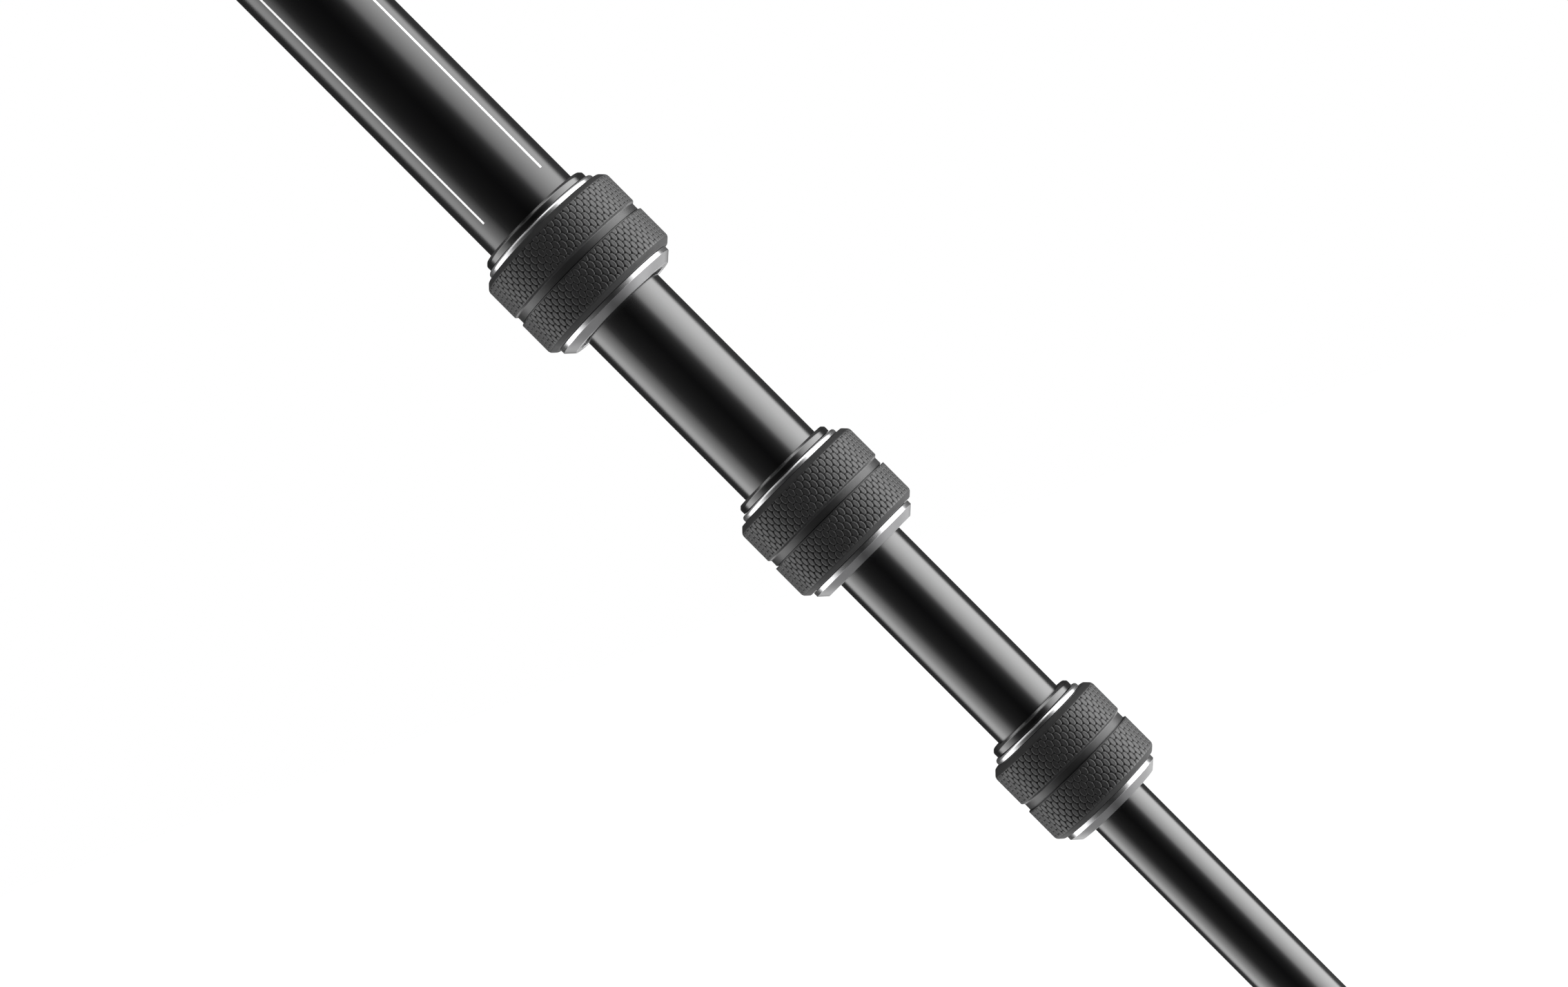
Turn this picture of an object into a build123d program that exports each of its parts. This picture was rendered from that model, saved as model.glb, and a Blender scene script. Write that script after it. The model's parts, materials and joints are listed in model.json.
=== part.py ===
from build123d import *
import math
import os

# A travel tripod: three four-section legs with twist locks, a shoulder and a centre column.
# The origin is on the floor under the column, +Z runs up the column, and leg A points along +X.
# Legs B and C are leg A turned by 120 and 240 degrees about the column.
LEG_AZIMUTHS = {"a": 0, "b": 120, "c": 240}

# Leg tubes, from the top section to the bottom one
TUBE_RADII = (11.0, 9.5, 8.0, 6.5)
TUBE_STEP = TUBE_RADII[0] - TUBE_RADII[1]
TUBE_WALL = 1.1
SECTIONS = (1, 2, 3, 4)
LOCKS = (1, 2, 3)

# How the leg stands: its spread from the column, and places down the leg from its pivot
SPREAD = 24.0
PIVOT_RADIUS = 38.0
FIRST_LOCK_AT = 290.0
LOCK_PITCH = 68.6
LOCK_LENGTH = 24.8
LAST_TUBE_SHOWN = 75.0
TOP_TUBE_AT = 24.0
LOCK_AT = [FIRST_LOCK_AT + LOCK_PITCH * n for n in range(len(LOCKS))]
FOOT_AT = LOCK_AT[-1] + LOCK_LENGTH + LAST_TUBE_SHOWN

# How far each lower tube reaches up inside the one above, from its own lock or foot
TUBE_REACH = {2: 265.0, 3: 286.0, 4: 307.0}

# Clearances, and the small chamfer that most rims have
GLUE_GAP = 0.05
RUNNING_GAP = 0.06
TURNING_GAP = 0.15
RIM = 0.6

# Twist lock: distances down from its top face
SLEEVE_FLANGE = 1.75
COLLAR_TOP = 1.9
GRIP_TOP = 3.05
GROOVE = (11.2, 11.66, 13.36, 13.77)
TUBE_SEAT = 13.0
SLEEVE_END = 14.5
BUSH_TOP = 14.7
BUSH_SHOULDER = 16.0
SEAT_TOP = 16.3
BUSH_CONE_END = 21.4
SEAT_END = 21.9
GRIP_END = 22.15
MOUTH_RING = 22.2
MOUTH_CONE = 23.2
BUSH_END = 23.3

# Twist lock: heights over the radius of the tube that it is on
THREAD_OVER = 1.25
BUSH_OVER = 1.15
BUSH_CONE_OVER = 0.25
FLANGE_OVER = 2.1
CORE_OVER = 2.6
TOP_RING_OVER = 3.0
MOUTH_END_OVER = 1.65
MOUTH_RING_OVER = 3.4
GRIP_EDGE_OVER = 4.1
GROOVE_OVER = 4.8
GRIP_OVER = 5.3

# Twist lock: heights over the radius of the tube that slides in it, and its other sizes
BUSH_LIP_OVER = 1.2
MOUTH_BORE_OVER = 1.6
SEAT_END_OVER = 1.95
RING_CHAMFER = 0.25
GRIP_CHAMFER = (1.25, 1.1)
BUSH_SLITS = 4
BUSH_SLIT = 1.0

# Guide shims at the top of each lower tube, and the keyway that stops a section turning
SHIM_AT = 2.0
SHIM_LENGTH = 28.0
SHIM_SPLIT = 0.8
SNAP_AT = 16.0
SNAP_RADIUS = 1.6
SNAP_DEPTH = 0.6
KEYWAY_WIDTH = 2.4
KEYWAY_DEPTH = 0.45
KEY_WIDTH = 2.0
KEY_DEPTH = 0.3

# Foot: a ball end, two tread grooves and a neck
FOOT_RADIUS = 9.6
FOOT_LENGTH = 28.0
FOOT_CENTRE = FOOT_LENGTH - FOOT_RADIUS
FOOT_SOCKET = 16.0
FOOT_NECK_RADIUS = 8.5
FOOT_NECK_END = 7.0
FOOT_SHOULDER = 10.6
TREAD_AT = (12.6, 15.2)
TREAD_WIDTH = 1.1
TREAD_DEPTH = 0.6

PIVOT_HEIGHT = (FOOT_AT + FOOT_CENTRE) * math.cos(math.radians(SPREAD)) + FOOT_RADIUS

# Knuckle at the top of a leg: a notched disc, a neck, a socket for the tube and a spigot in it
KNUCKLE_RADIUS = 14.0
KNUCKLE_HALF_WIDTH = 7.0
KNUCKLE_CHAMFER = 0.8
NECK_HALF = 10.0
SOCKET_ROOT = 13.0
SOCKET_ROOT_RADIUS = 7.6
SOCKET_AT = 18.0
SOCKET_RADIUS = 12.4
SPIGOT_END = 44.0
SPIGOT_BORE = 6.5
STOP_ANGLES = (24.0, 51.0, 80.0, 180.0)

# Shoulder: a hub and three yokes, with heights from the pivots
HUB_RADIUS = 19.0
HUB_BOTTOM = -16.0
HUB_TOP = 13.0
HUB_CHAMFER = 2.0
EAR_RADIUS = 12.0
EAR_CHAMFER = 1.4
YOKE_HALF_WIDTH = 12.0
YOKE_SLOT_HALF = 7.3
YOKE_BACK = 23.2

# Pivot bolt and its cap nut, with distances out from the middle of the yoke
PIVOT_PIN = 3.0
BOLT_HEAD = 5.1
BOLT_SEAT = 9.8
BOLT_HEAD_END = 13.2
BOLT_HEX = 2.6
BOLT_HEX_DEPTH = 2.2
BOLT_END = 11.7
NUT_FLOOR = 12.0
COUNTERBORE_GAP = 0.2

# Angle latch: distances out from the column, then heights from the pivots, then half widths
TOOTH_BACK = 19.0
TOOTH_TIP = 22.9
STEM_FRONT = 21.6
BUTTON_FRONT = 23.1
LATCH_TRAVEL = 4.0
TOOTH_LOW = 3.0
TOOTH_HIGH = 7.0
RAIL_LOW = 8.5
RAIL_HIGH = 10.5
BUTTON_LOW = 13.3
BUTTON_HIGH = 16.0
LATCH_HALF_WIDTH = 3.0
RAIL_HALF_WIDTH = 4.6
BUTTON_HALF_WIDTH = 5.5
BUTTON_RIDGES = 3
BUTTON_RIDGE_PITCH = 1.3
BUTTON_RIDGE_DEPTH = 0.4
LATCH_GAP = 0.3

# Centre column, with heights from the pivots
COLUMN_RADIUS = 11.0
COLUMN_WALL = 1.5
COLUMN_TOP = 40.0
COLUMN_BOTTOM = -225.0
GUIDE_FLANGE = 2.0
GUIDE_FLANGE_OVER = 3.0
PLATE_UNDER = COLUMN_TOP + GLUE_GAP
PLATE_FACE = PLATE_UNDER + 6.0
PLATE_RADIUS = 20.0
PLATE_CONE = 4.0
PLATE_RIM = 3.4
PLATE_RECESS_RADIUS = 8.0
PLATE_RECESS = 1.0
PLATE_SPIGOT = 18.0
PLATE_SPIGOT_BORE = 7.6
STUD_RADIUS = 4.7625
STUD_SHANK = 6.0
STUD_LENGTH = 11.0
STUD_FLANGE_RADIUS = 7.2
STUD_FLANGE = 3.0
CAP_RADIUS = 12.6
CAP_THICK = 5.0
CAP_PLUG = 12.0
CAP_CHAMFER = 1.6


# Planes

def leg_plane(distance):
    """The plane square to leg A at a distance down from its pivot: x points out and up, z down the leg."""
    lean = math.radians(SPREAD)
    along = Vector(math.sin(lean), 0, -math.cos(lean))
    across = Vector(math.cos(lean), 0, math.sin(lean))
    pivot = Vector(PIVOT_RADIUS, 0, PIVOT_HEIGHT)
    return Plane(origin=pivot + along * distance, x_dir=across, z_dir=along)


def column_plane(height):
    """The level plane at a height over the pivots."""
    return Plane(origin=(0, 0, PIVOT_HEIGHT + height), x_dir=(1, 0, 0), z_dir=(0, 0, 1))


def hinge_plane(turned=0.0):
    """The upright plane through leg A's pivot, with x pointing out and y up, turned about the pivot."""
    angle = math.radians(turned)
    return Plane(
        origin=(PIVOT_RADIUS, 0, PIVOT_HEIGHT),
        x_dir=(math.cos(angle), 0, math.sin(angle)),
        z_dir=(0, -1, 0),
    )


def section_of(plane):
    """The plane through another plane's axis, on which x is a radius and y a distance along the axis."""
    return Plane(origin=plane.origin, x_dir=plane.x_dir, z_dir=-plane.y_dir)


def turn(plane, outline):
    """Adds an outline of (radius, distance) points, revolved about a plane's axis, to the part in hand."""
    with BuildSketch(section_of(plane)) as profile:
        with BuildLine():
            Polyline(*outline, close=True)
        make_face()
    revolve(profile.sketch, axis=Axis(plane.origin, plane.z_dir))


# Leg sections

def section_top(section):
    """How far down the leg a section's tube starts."""
    if section == 1:
        return TOP_TUBE_AT
    own_end = FOOT_AT if section == 4 else LOCK_AT[section - 1]
    return own_end - TUBE_REACH[section]


def leg_tube(section):
    """One leg tube, with a keyway inside for the section below and snap holes for its own shims."""
    radius = TUBE_RADII[section - 1]
    bore = radius - TUBE_WALL
    top = section_top(section)
    end = FOOT_AT + FOOT_SOCKET if section == 4 else LOCK_AT[section - 1] + TUBE_SEAT
    with BuildPart() as tube:
        with BuildSketch(leg_plane(top)):
            Circle(radius)
            Circle(bore, mode=Mode.SUBTRACT)
            if section < 4:
                with Locations((0, -bore)):
                    Rectangle(KEYWAY_WIDTH, 2 * KEYWAY_DEPTH, mode=Mode.SUBTRACT)
        extrude(amount=end - top)
        if section > 1:
            with BuildSketch(section_of(leg_plane(top))):
                with Locations((0, SNAP_AT)):
                    Circle(SNAP_RADIUS)
            extrude(amount=2 * radius, both=True, mode=Mode.SUBTRACT)
    return tube


def guide_shims(section):
    """The two half shells at the top of a lower tube: one has the key, and a nib holds each to the tube."""
    radius = TUBE_RADII[section - 1]
    outer_bore = radius + TUBE_STEP - TUBE_WALL
    top = section_top(section)
    inside = radius + GLUE_GAP / 2
    outside = outer_bore - RUNNING_GAP
    key_tip = outer_bore + KEY_DEPTH
    with BuildPart() as shims:
        with BuildSketch(leg_plane(top + SHIM_AT)):
            Circle(outside)
            with Locations((0, -(inside + key_tip) / 2)):
                Rectangle(KEY_WIDTH, key_tip - inside)
            Circle(inside, mode=Mode.SUBTRACT)
            Rectangle(4 * radius, SHIM_SPLIT, mode=Mode.SUBTRACT)
        extrude(amount=SHIM_LENGTH)
        for side in (1, -1):
            with BuildSketch(section_of(leg_plane(top)).offset(side * (radius - SNAP_DEPTH))):
                with Locations((0, SNAP_AT)):
                    Circle(SNAP_RADIUS - GLUE_GAP)
            extrude(amount=side * (SNAP_DEPTH + GLUE_GAP))
    return shims


# Twist locks

def threaded_sleeve(top, radius):
    """The black sleeve glued on a tube's lower end. Its flange shows above the collar."""
    inner = radius - TUBE_STEP
    stop = inner + 2 * RUNNING_GAP
    with BuildPart() as sleeve:
        turn(
            top,
            [
                (radius + GLUE_GAP, 0),
                (radius + FLANGE_OVER - RIM, 0),
                (radius + FLANGE_OVER, RIM),
                (radius + FLANGE_OVER, SLEEVE_FLANGE),
                (radius + THREAD_OVER, SLEEVE_FLANGE),
                (radius + THREAD_OVER, SLEEVE_END),
                (stop, SLEEVE_END),
                (stop, TUBE_SEAT + GLUE_GAP),
                (radius + GLUE_GAP, TUBE_SEAT + GLUE_GAP),
            ],
        )
    return sleeve


def clamp_bush(top, radius):
    """The split cone that the collar squeezes onto the inner tube. Its lip shows in the collar's mouth."""
    inner = radius - TUBE_STEP
    with BuildPart() as bush:
        turn(
            top,
            [
                (inner + RUNNING_GAP, BUSH_TOP),
                (radius + BUSH_OVER, BUSH_TOP),
                (radius + BUSH_OVER, BUSH_SHOULDER),
                (radius + BUSH_CONE_OVER, BUSH_CONE_END),
                (inner + BUSH_LIP_OVER, BUSH_CONE_END),
                (inner + BUSH_LIP_OVER, BUSH_END),
                (inner + RUNNING_GAP, BUSH_END),
            ],
        )
        with BuildSketch(top.offset(BUSH_SHOULDER)):
            with PolarLocations(radius, BUSH_SLITS):
                Rectangle(4 * TUBE_STEP, BUSH_SLIT)
        extrude(amount=BUSH_END - BUSH_SHOULDER, mode=Mode.SUBTRACT)
        with BuildSketch(top.offset(BUSH_TOP)):
            with Locations((radius, 0)):
                Rectangle(4 * TUBE_STEP, BUSH_SLIT)
        extrude(amount=BUSH_END - BUSH_TOP, mode=Mode.SUBTRACT)
    return bush


def lock_collar(top, radius):
    """The aluminium collar that turns: a bright ring at each end, a core for the rubber and a coned seat."""
    inner = radius - TUBE_STEP
    thread = radius + THREAD_OVER + TURNING_GAP
    ring = radius + TOP_RING_OVER
    with BuildPart() as collar:
        turn(
            top,
            [
                (thread, COLLAR_TOP),
                (ring - RING_CHAMFER, COLLAR_TOP),
                (ring, COLLAR_TOP + RING_CHAMFER),
                (ring, GRIP_TOP - GLUE_GAP),
                (radius + CORE_OVER, GRIP_TOP - GLUE_GAP),
                (radius + CORE_OVER, MOUTH_RING),
                (radius + MOUTH_RING_OVER, MOUTH_RING),
                (radius + MOUTH_RING_OVER, MOUTH_CONE),
                (radius + MOUTH_END_OVER, LOCK_LENGTH),
                (inner + MOUTH_BORE_OVER, LOCK_LENGTH),
                (inner + MOUTH_BORE_OVER, SEAT_END),
                (inner + SEAT_END_OVER, SEAT_END),
                (thread, SEAT_TOP),
            ],
        )
    return collar


def lock_grip(top, radius):
    """The rubber sleeve on a collar: two bands with a groove between them."""
    bore = radius + CORE_OVER + GLUE_GAP
    with BuildPart() as grip:
        turn(
            top,
            [
                (bore, GRIP_TOP),
                (radius + GRIP_EDGE_OVER, GRIP_TOP),
                (radius + GRIP_OVER, GRIP_TOP + GRIP_CHAMFER[0]),
                (radius + GRIP_OVER, GROOVE[0]),
                (radius + GROOVE_OVER, GROOVE[1]),
                (radius + GROOVE_OVER, GROOVE[2]),
                (radius + GRIP_OVER, GROOVE[3]),
                (radius + GRIP_OVER, GRIP_END - GRIP_CHAMFER[1]),
                (radius + GRIP_EDGE_OVER, GRIP_END),
                (bore, GRIP_END),
            ],
        )
    return grip


# The ends of a leg

def foot():
    """The rubber foot, with a socket for the last tube."""
    socket = TUBE_RADII[3] + GLUE_GAP
    walls = [
        (socket, 0),
        (FOOT_NECK_RADIUS - RIM, 0),
        (FOOT_NECK_RADIUS, RIM),
        (FOOT_NECK_RADIUS, FOOT_NECK_END),
        (FOOT_RADIUS, FOOT_SHOULDER),
    ]
    for start in TREAD_AT:
        walls += [
            (FOOT_RADIUS, start),
            (FOOT_RADIUS - TREAD_DEPTH, start + TREAD_WIDTH / 4),
            (FOOT_RADIUS - TREAD_DEPTH, start + TREAD_WIDTH * 3 / 4),
            (FOOT_RADIUS, start + TREAD_WIDTH),
        ]
    top = leg_plane(FOOT_AT)
    with BuildPart() as rubber:
        with BuildSketch(section_of(top)):
            with BuildLine():
                Polyline(*walls, (FOOT_RADIUS, FOOT_CENTRE))
                CenterArc((0, FOOT_CENTRE), FOOT_RADIUS, 0, 90)
                Polyline(
                    (0, FOOT_LENGTH),
                    (0, FOOT_SOCKET + GLUE_GAP),
                    (socket, FOOT_SOCKET + GLUE_GAP),
                    (socket, 0),
                )
            make_face()
        revolve(axis=Axis(top.origin, top.z_dir))
    return rubber


def knuckle():
    """The casting at the top of a leg, with a notch in its disc for each angle that the leg stands at."""
    pivot = leg_plane(0)
    spigot = TUBE_RADII[0] - TUBE_WALL - GLUE_GAP
    notch_floor = TOOTH_TIP + LATCH_TRAVEL + LATCH_GAP - PIVOT_RADIUS
    notch_height = TOOTH_HIGH - TOOTH_LOW + 2 * LATCH_GAP
    notch_length = KNUCKLE_RADIUS / 2
    with BuildPart() as casting:
        with BuildSketch(section_of(pivot)):
            Circle(KNUCKLE_RADIUS)
            with Locations((0, SOCKET_AT / 2)):
                Rectangle(2 * NECK_HALF, SOCKET_AT)
        extrude(amount=KNUCKLE_HALF_WIDTH, both=True)
        chamfer(casting.faces().filter_by(Axis.Y).edges(), length=KNUCKLE_CHAMFER)
        turn(
            pivot,
            [
                (0, SOCKET_ROOT),
                (SOCKET_ROOT_RADIUS, SOCKET_ROOT),
                (SOCKET_RADIUS - RIM, SOCKET_AT - RIM),
                (SOCKET_RADIUS, SOCKET_AT),
                (SOCKET_RADIUS, TOP_TUBE_AT - RIM),
                (SOCKET_RADIUS - RIM, TOP_TUBE_AT),
                (spigot, TOP_TUBE_AT),
                (spigot, SPIGOT_END - RIM),
                (spigot - RIM, SPIGOT_END),
                (SPIGOT_BORE, SPIGOT_END),
                (SPIGOT_BORE, TOP_TUBE_AT),
                (0, TOP_TUBE_AT),
            ],
        )
        with BuildSketch(section_of(pivot)):
            Circle(PIVOT_PIN + RUNNING_GAP)
        extrude(amount=2 * KNUCKLE_HALF_WIDTH, both=True, mode=Mode.SUBTRACT)
        for stop in STOP_ANGLES:
            with BuildSketch(hinge_plane(SPREAD - stop)):
                with Locations((notch_floor - notch_length / 2, (TOOTH_LOW + TOOTH_HIGH) / 2)):
                    Rectangle(notch_length, notch_height)
            extrude(amount=LATCH_HALF_WIDTH + LATCH_GAP, both=True, mode=Mode.SUBTRACT)
    return casting


# Angle latch

def latch_box(back, front, low, high, half_width, gap=0.0, mode=Mode.ADD):
    """Adds or cuts a box over leg A's plane, from its sides' distances from the column, grown by a gap."""
    with BuildSketch(hinge_plane()) as side:
        with Locations(((back + front) / 2 - PIVOT_RADIUS, (low + high) / 2)):
            Rectangle(front - back + 2 * gap, high - low + 2 * gap)
    extrude(side.sketch, amount=half_width + gap, both=True, mode=mode)


def angle_latch():
    """The slider on the shoulder that locks a leg's angle: a ribbed button, a stem on rails and a tooth."""
    with BuildPart() as latch:
        latch_box(TOOTH_BACK, STEM_FRONT, TOOTH_LOW, BUTTON_LOW + RIM, LATCH_HALF_WIDTH)
        latch_box(TOOTH_BACK, TOOTH_TIP, TOOTH_LOW, TOOTH_HIGH, LATCH_HALF_WIDTH)
        latch_box(TOOTH_BACK, STEM_FRONT, RAIL_LOW, RAIL_HIGH, RAIL_HALF_WIDTH)
        latch_box(TOOTH_BACK, BUTTON_FRONT, BUTTON_LOW, BUTTON_HIGH, BUTTON_HALF_WIDTH)
        rims = latch.edges().group_by(Axis.Z)[-1]
        chamfer(rims, length=BUTTON_RIDGE_DEPTH)
        with BuildSketch(hinge_plane()):
            with Locations(((TOOTH_BACK + BUTTON_FRONT) / 2 - PIVOT_RADIUS, BUTTON_HIGH)):
                with GridLocations(BUTTON_RIDGE_PITCH, 1, BUTTON_RIDGES, 1):
                    Rectangle(BUTTON_RIDGE_PITCH / 2, 2 * BUTTON_RIDGE_DEPTH)
        extrude(amount=BUTTON_HALF_WIDTH, both=True, mode=Mode.SUBTRACT)
    return latch


# Shoulder

def yoke():
    """The pair of ears for leg A, before the slot between them is cut."""
    with BuildPart() as arm:
        with BuildSketch(hinge_plane()):
            Circle(EAR_RADIUS)
            with Locations((-PIVOT_RADIUS / 2, 0)):
                Rectangle(PIVOT_RADIUS, 2 * EAR_RADIUS)
        extrude(amount=YOKE_HALF_WIDTH, both=True)
        chamfer(arm.faces().filter_by(Axis.Y).edges(), length=EAR_CHAMFER)
    return arm


def yoke_cuts():
    """What is cut from a yoke: the knuckle's slot, the pivot bore, two bolt seats and the latch's pocket."""
    with BuildPart() as cuts:
        latch_box(YOKE_BACK, 2 * PIVOT_RADIUS, -2 * EAR_RADIUS, 2 * EAR_RADIUS, YOKE_SLOT_HALF)
        latch_box(TOOTH_BACK, YOKE_BACK, TOOTH_LOW, BUTTON_HIGH, LATCH_HALF_WIDTH, LATCH_GAP)
        latch_box(TOOTH_BACK, YOKE_BACK, RAIL_LOW, RAIL_HIGH, RAIL_HALF_WIDTH, LATCH_GAP)
        with BuildSketch(hinge_plane()):
            Circle(PIVOT_PIN + GLUE_GAP / 2)
        extrude(amount=2 * YOKE_HALF_WIDTH, both=True)
        for side in (1, -1):
            with BuildSketch(hinge_plane().offset(side * BOLT_SEAT)):
                Circle(BOLT_HEAD + COUNTERBORE_GAP)
            extrude(amount=side * YOKE_HALF_WIDTH)
    return cuts


def shoulder():
    """The casting that carries everything: a hub, a threaded boss for the column's lock and three yokes."""
    lock_radius = COLUMN_RADIUS + TUBE_STEP
    arm = yoke()
    cuts = yoke_cuts()
    with BuildPart() as casting:
        turn(
            column_plane(0),
            [
                (0, HUB_BOTTOM),
                (HUB_RADIUS - HUB_CHAMFER, HUB_BOTTOM),
                (HUB_RADIUS, HUB_BOTTOM + HUB_CHAMFER),
                (HUB_RADIUS, HUB_TOP - HUB_CHAMFER),
                (HUB_RADIUS - HUB_CHAMFER, HUB_TOP),
                (lock_radius + FLANGE_OVER, HUB_TOP),
                (lock_radius + FLANGE_OVER, HUB_TOP + SLEEVE_FLANGE),
                (lock_radius + THREAD_OVER, HUB_TOP + SLEEVE_FLANGE),
                (lock_radius + THREAD_OVER, HUB_TOP + SLEEVE_END),
                (0, HUB_TOP + SLEEVE_END),
            ],
        )
        for azimuth in LEG_AZIMUTHS.values():
            add(arm.part, rotation=(0, 0, azimuth))
        for azimuth in LEG_AZIMUTHS.values():
            add(cuts.part, rotation=(0, 0, azimuth), mode=Mode.SUBTRACT)
        with BuildSketch(column_plane(HUB_BOTTOM)):
            Circle(lock_radius)
        extrude(amount=HUB_TOP + TUBE_SEAT - HUB_BOTTOM, mode=Mode.SUBTRACT)
        with BuildSketch(column_plane(HUB_TOP)):
            Circle(COLUMN_RADIUS + 2 * RUNNING_GAP)
        extrude(amount=2 * SLEEVE_END, mode=Mode.SUBTRACT)
    return casting


def pivot_bolt():
    """Leg A's pivot bolt, with a hex socket in its head."""
    with BuildPart() as bolt:
        with BuildSketch(hinge_plane().offset(BOLT_SEAT)):
            Circle(BOLT_HEAD)
        extrude(amount=BOLT_HEAD_END - BOLT_SEAT)
        chamfer(bolt.faces().sort_by(Axis.Y)[0].edges(), length=RIM)
        with BuildSketch(hinge_plane().offset(BOLT_HEAD_END)):
            RegularPolygon(BOLT_HEX, 6)
        extrude(amount=-BOLT_HEX_DEPTH, mode=Mode.SUBTRACT)
        with BuildSketch(hinge_plane().offset(BOLT_SEAT)):
            Circle(PIVOT_PIN)
        extrude(amount=-(BOLT_SEAT + BOLT_END))
    return bolt


def pivot_nut():
    """The cap nut on leg A's pivot bolt."""
    with BuildPart() as nut:
        with BuildSketch(hinge_plane().offset(-BOLT_SEAT)):
            Circle(BOLT_HEAD)
        extrude(amount=-(BOLT_HEAD_END - BOLT_SEAT))
        chamfer(nut.faces().sort_by(Axis.Y)[-1].edges(), length=RIM)
        with BuildSketch(hinge_plane().offset(-BOLT_SEAT)):
            Circle(PIVOT_PIN + GLUE_GAP / 2)
        extrude(amount=-(NUT_FLOOR - BOLT_SEAT), mode=Mode.SUBTRACT)
    return nut


# Centre column

def column_guide():
    """The bush in the hub's lower end that the column slides in, with the key that stops it turning."""
    inside = COLUMN_RADIUS + RUNNING_GAP
    outside = COLUMN_RADIUS + TUBE_STEP - GLUE_GAP
    flange = outside + GUIDE_FLANGE_OVER
    key_tip = COLUMN_RADIUS - KEY_DEPTH
    key_root = inside + RIM
    with BuildPart() as guide:
        turn(
            column_plane(0),
            [
                (inside, HUB_BOTTOM - GUIDE_FLANGE),
                (flange - RIM, HUB_BOTTOM - GUIDE_FLANGE),
                (flange, HUB_BOTTOM - GUIDE_FLANGE + RIM),
                (flange, HUB_BOTTOM - GLUE_GAP),
                (outside, HUB_BOTTOM - GLUE_GAP),
                (outside, HUB_TOP),
                (inside, HUB_TOP),
            ],
        )
        with BuildSketch(column_plane(HUB_BOTTOM - GUIDE_FLANGE)):
            with Locations((0, (key_tip + key_root) / 2)):
                Rectangle(KEY_WIDTH, key_root - key_tip)
        extrude(amount=HUB_TOP - HUB_BOTTOM + GUIDE_FLANGE)
    return guide


def column_tube():
    """The centre column, with a keyway down its outside."""
    with BuildPart() as tube:
        with BuildSketch(column_plane(COLUMN_BOTTOM)):
            Circle(COLUMN_RADIUS)
            with Locations((0, COLUMN_RADIUS)):
                Rectangle(KEYWAY_WIDTH, 2 * KEYWAY_DEPTH, mode=Mode.SUBTRACT)
            Circle(COLUMN_RADIUS - COLUMN_WALL, mode=Mode.SUBTRACT)
        extrude(amount=COLUMN_TOP - COLUMN_BOTTOM)
    return tube


def head_plate():
    """The plate that a head stands on, with a spigot glued into the column and a recess round the stud."""
    spigot = COLUMN_RADIUS - COLUMN_WALL - GLUE_GAP
    stud_hole = STUD_SHANK + GLUE_GAP
    with BuildPart() as plate:
        turn(
            column_plane(0),
            [
                (stud_hole, PLATE_UNDER),
                (stud_hole, PLATE_FACE - PLATE_RECESS),
                (PLATE_RECESS_RADIUS, PLATE_FACE - PLATE_RECESS),
                (PLATE_RECESS_RADIUS, PLATE_FACE),
                (PLATE_RADIUS - RIM, PLATE_FACE),
                (PLATE_RADIUS, PLATE_FACE - RIM),
                (PLATE_RADIUS, PLATE_FACE - PLATE_RIM),
                (PLATE_RADIUS - PLATE_CONE, PLATE_UNDER),
                (spigot, PLATE_UNDER),
                (spigot, PLATE_UNDER - PLATE_SPIGOT),
                (PLATE_SPIGOT_BORE, PLATE_UNDER - PLATE_SPIGOT),
                (PLATE_SPIGOT_BORE, PLATE_UNDER),
            ],
        )
    return plate


def head_stud():
    """The three-eighths inch stud that a head screws onto, with a flange inside the plate's spigot."""
    with BuildPart() as stud:
        turn(
            column_plane(0),
            [
                (0, PLATE_UNDER - STUD_FLANGE),
                (STUD_FLANGE_RADIUS, PLATE_UNDER - STUD_FLANGE),
                (STUD_FLANGE_RADIUS, PLATE_UNDER - GLUE_GAP),
                (STUD_SHANK, PLATE_UNDER - GLUE_GAP),
                (STUD_SHANK, PLATE_FACE - PLATE_RECESS),
                (STUD_RADIUS, PLATE_FACE - PLATE_RECESS),
                (STUD_RADIUS, PLATE_FACE + STUD_LENGTH - RIM),
                (STUD_RADIUS - RIM, PLATE_FACE + STUD_LENGTH),
                (0, PLATE_FACE + STUD_LENGTH),
            ],
        )
    return stud


def column_cap():
    """The rubber plug at the column's lower end. Its rim stops the column coming out upwards."""
    plug = COLUMN_RADIUS - COLUMN_WALL - GLUE_GAP
    rim_top = COLUMN_BOTTOM - GLUE_GAP
    with BuildPart() as cap:
        turn(
            column_plane(0),
            [
                (0, rim_top - CAP_THICK),
                (CAP_RADIUS - CAP_CHAMFER, rim_top - CAP_THICK),
                (CAP_RADIUS, rim_top - CAP_THICK + CAP_CHAMFER),
                (CAP_RADIUS, rim_top - RIM),
                (CAP_RADIUS - RIM, rim_top),
                (plug, rim_top),
                (plug, rim_top + CAP_PLUG),
                (0, rim_top + CAP_PLUG),
            ],
        )
    return cap


# Nodes

def leg_nodes():
    """Leg A's nodes: each name with its pieces."""
    nodes = {"knuckle": [knuckle()], "angle_latch": [angle_latch()], "foot": [foot()]}
    for section in SECTIONS:
        nodes[f"tube_{section}"] = [leg_tube(section)]
        bushes = []
        if section > 1:
            bushes.append(guide_shims(section))
        if section in LOCKS:
            top = leg_plane(LOCK_AT[section - 1])
            radius = TUBE_RADII[section - 1]
            bushes.append(threaded_sleeve(top, radius))
            bushes.append(clamp_bush(top, radius))
            nodes[f"lock_{section}_collar"] = [lock_collar(top, radius)]
            nodes[f"lock_{section}_grip"] = [lock_grip(top, radius)]
        nodes[f"bushes_{section}"] = bushes
    return nodes


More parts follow.
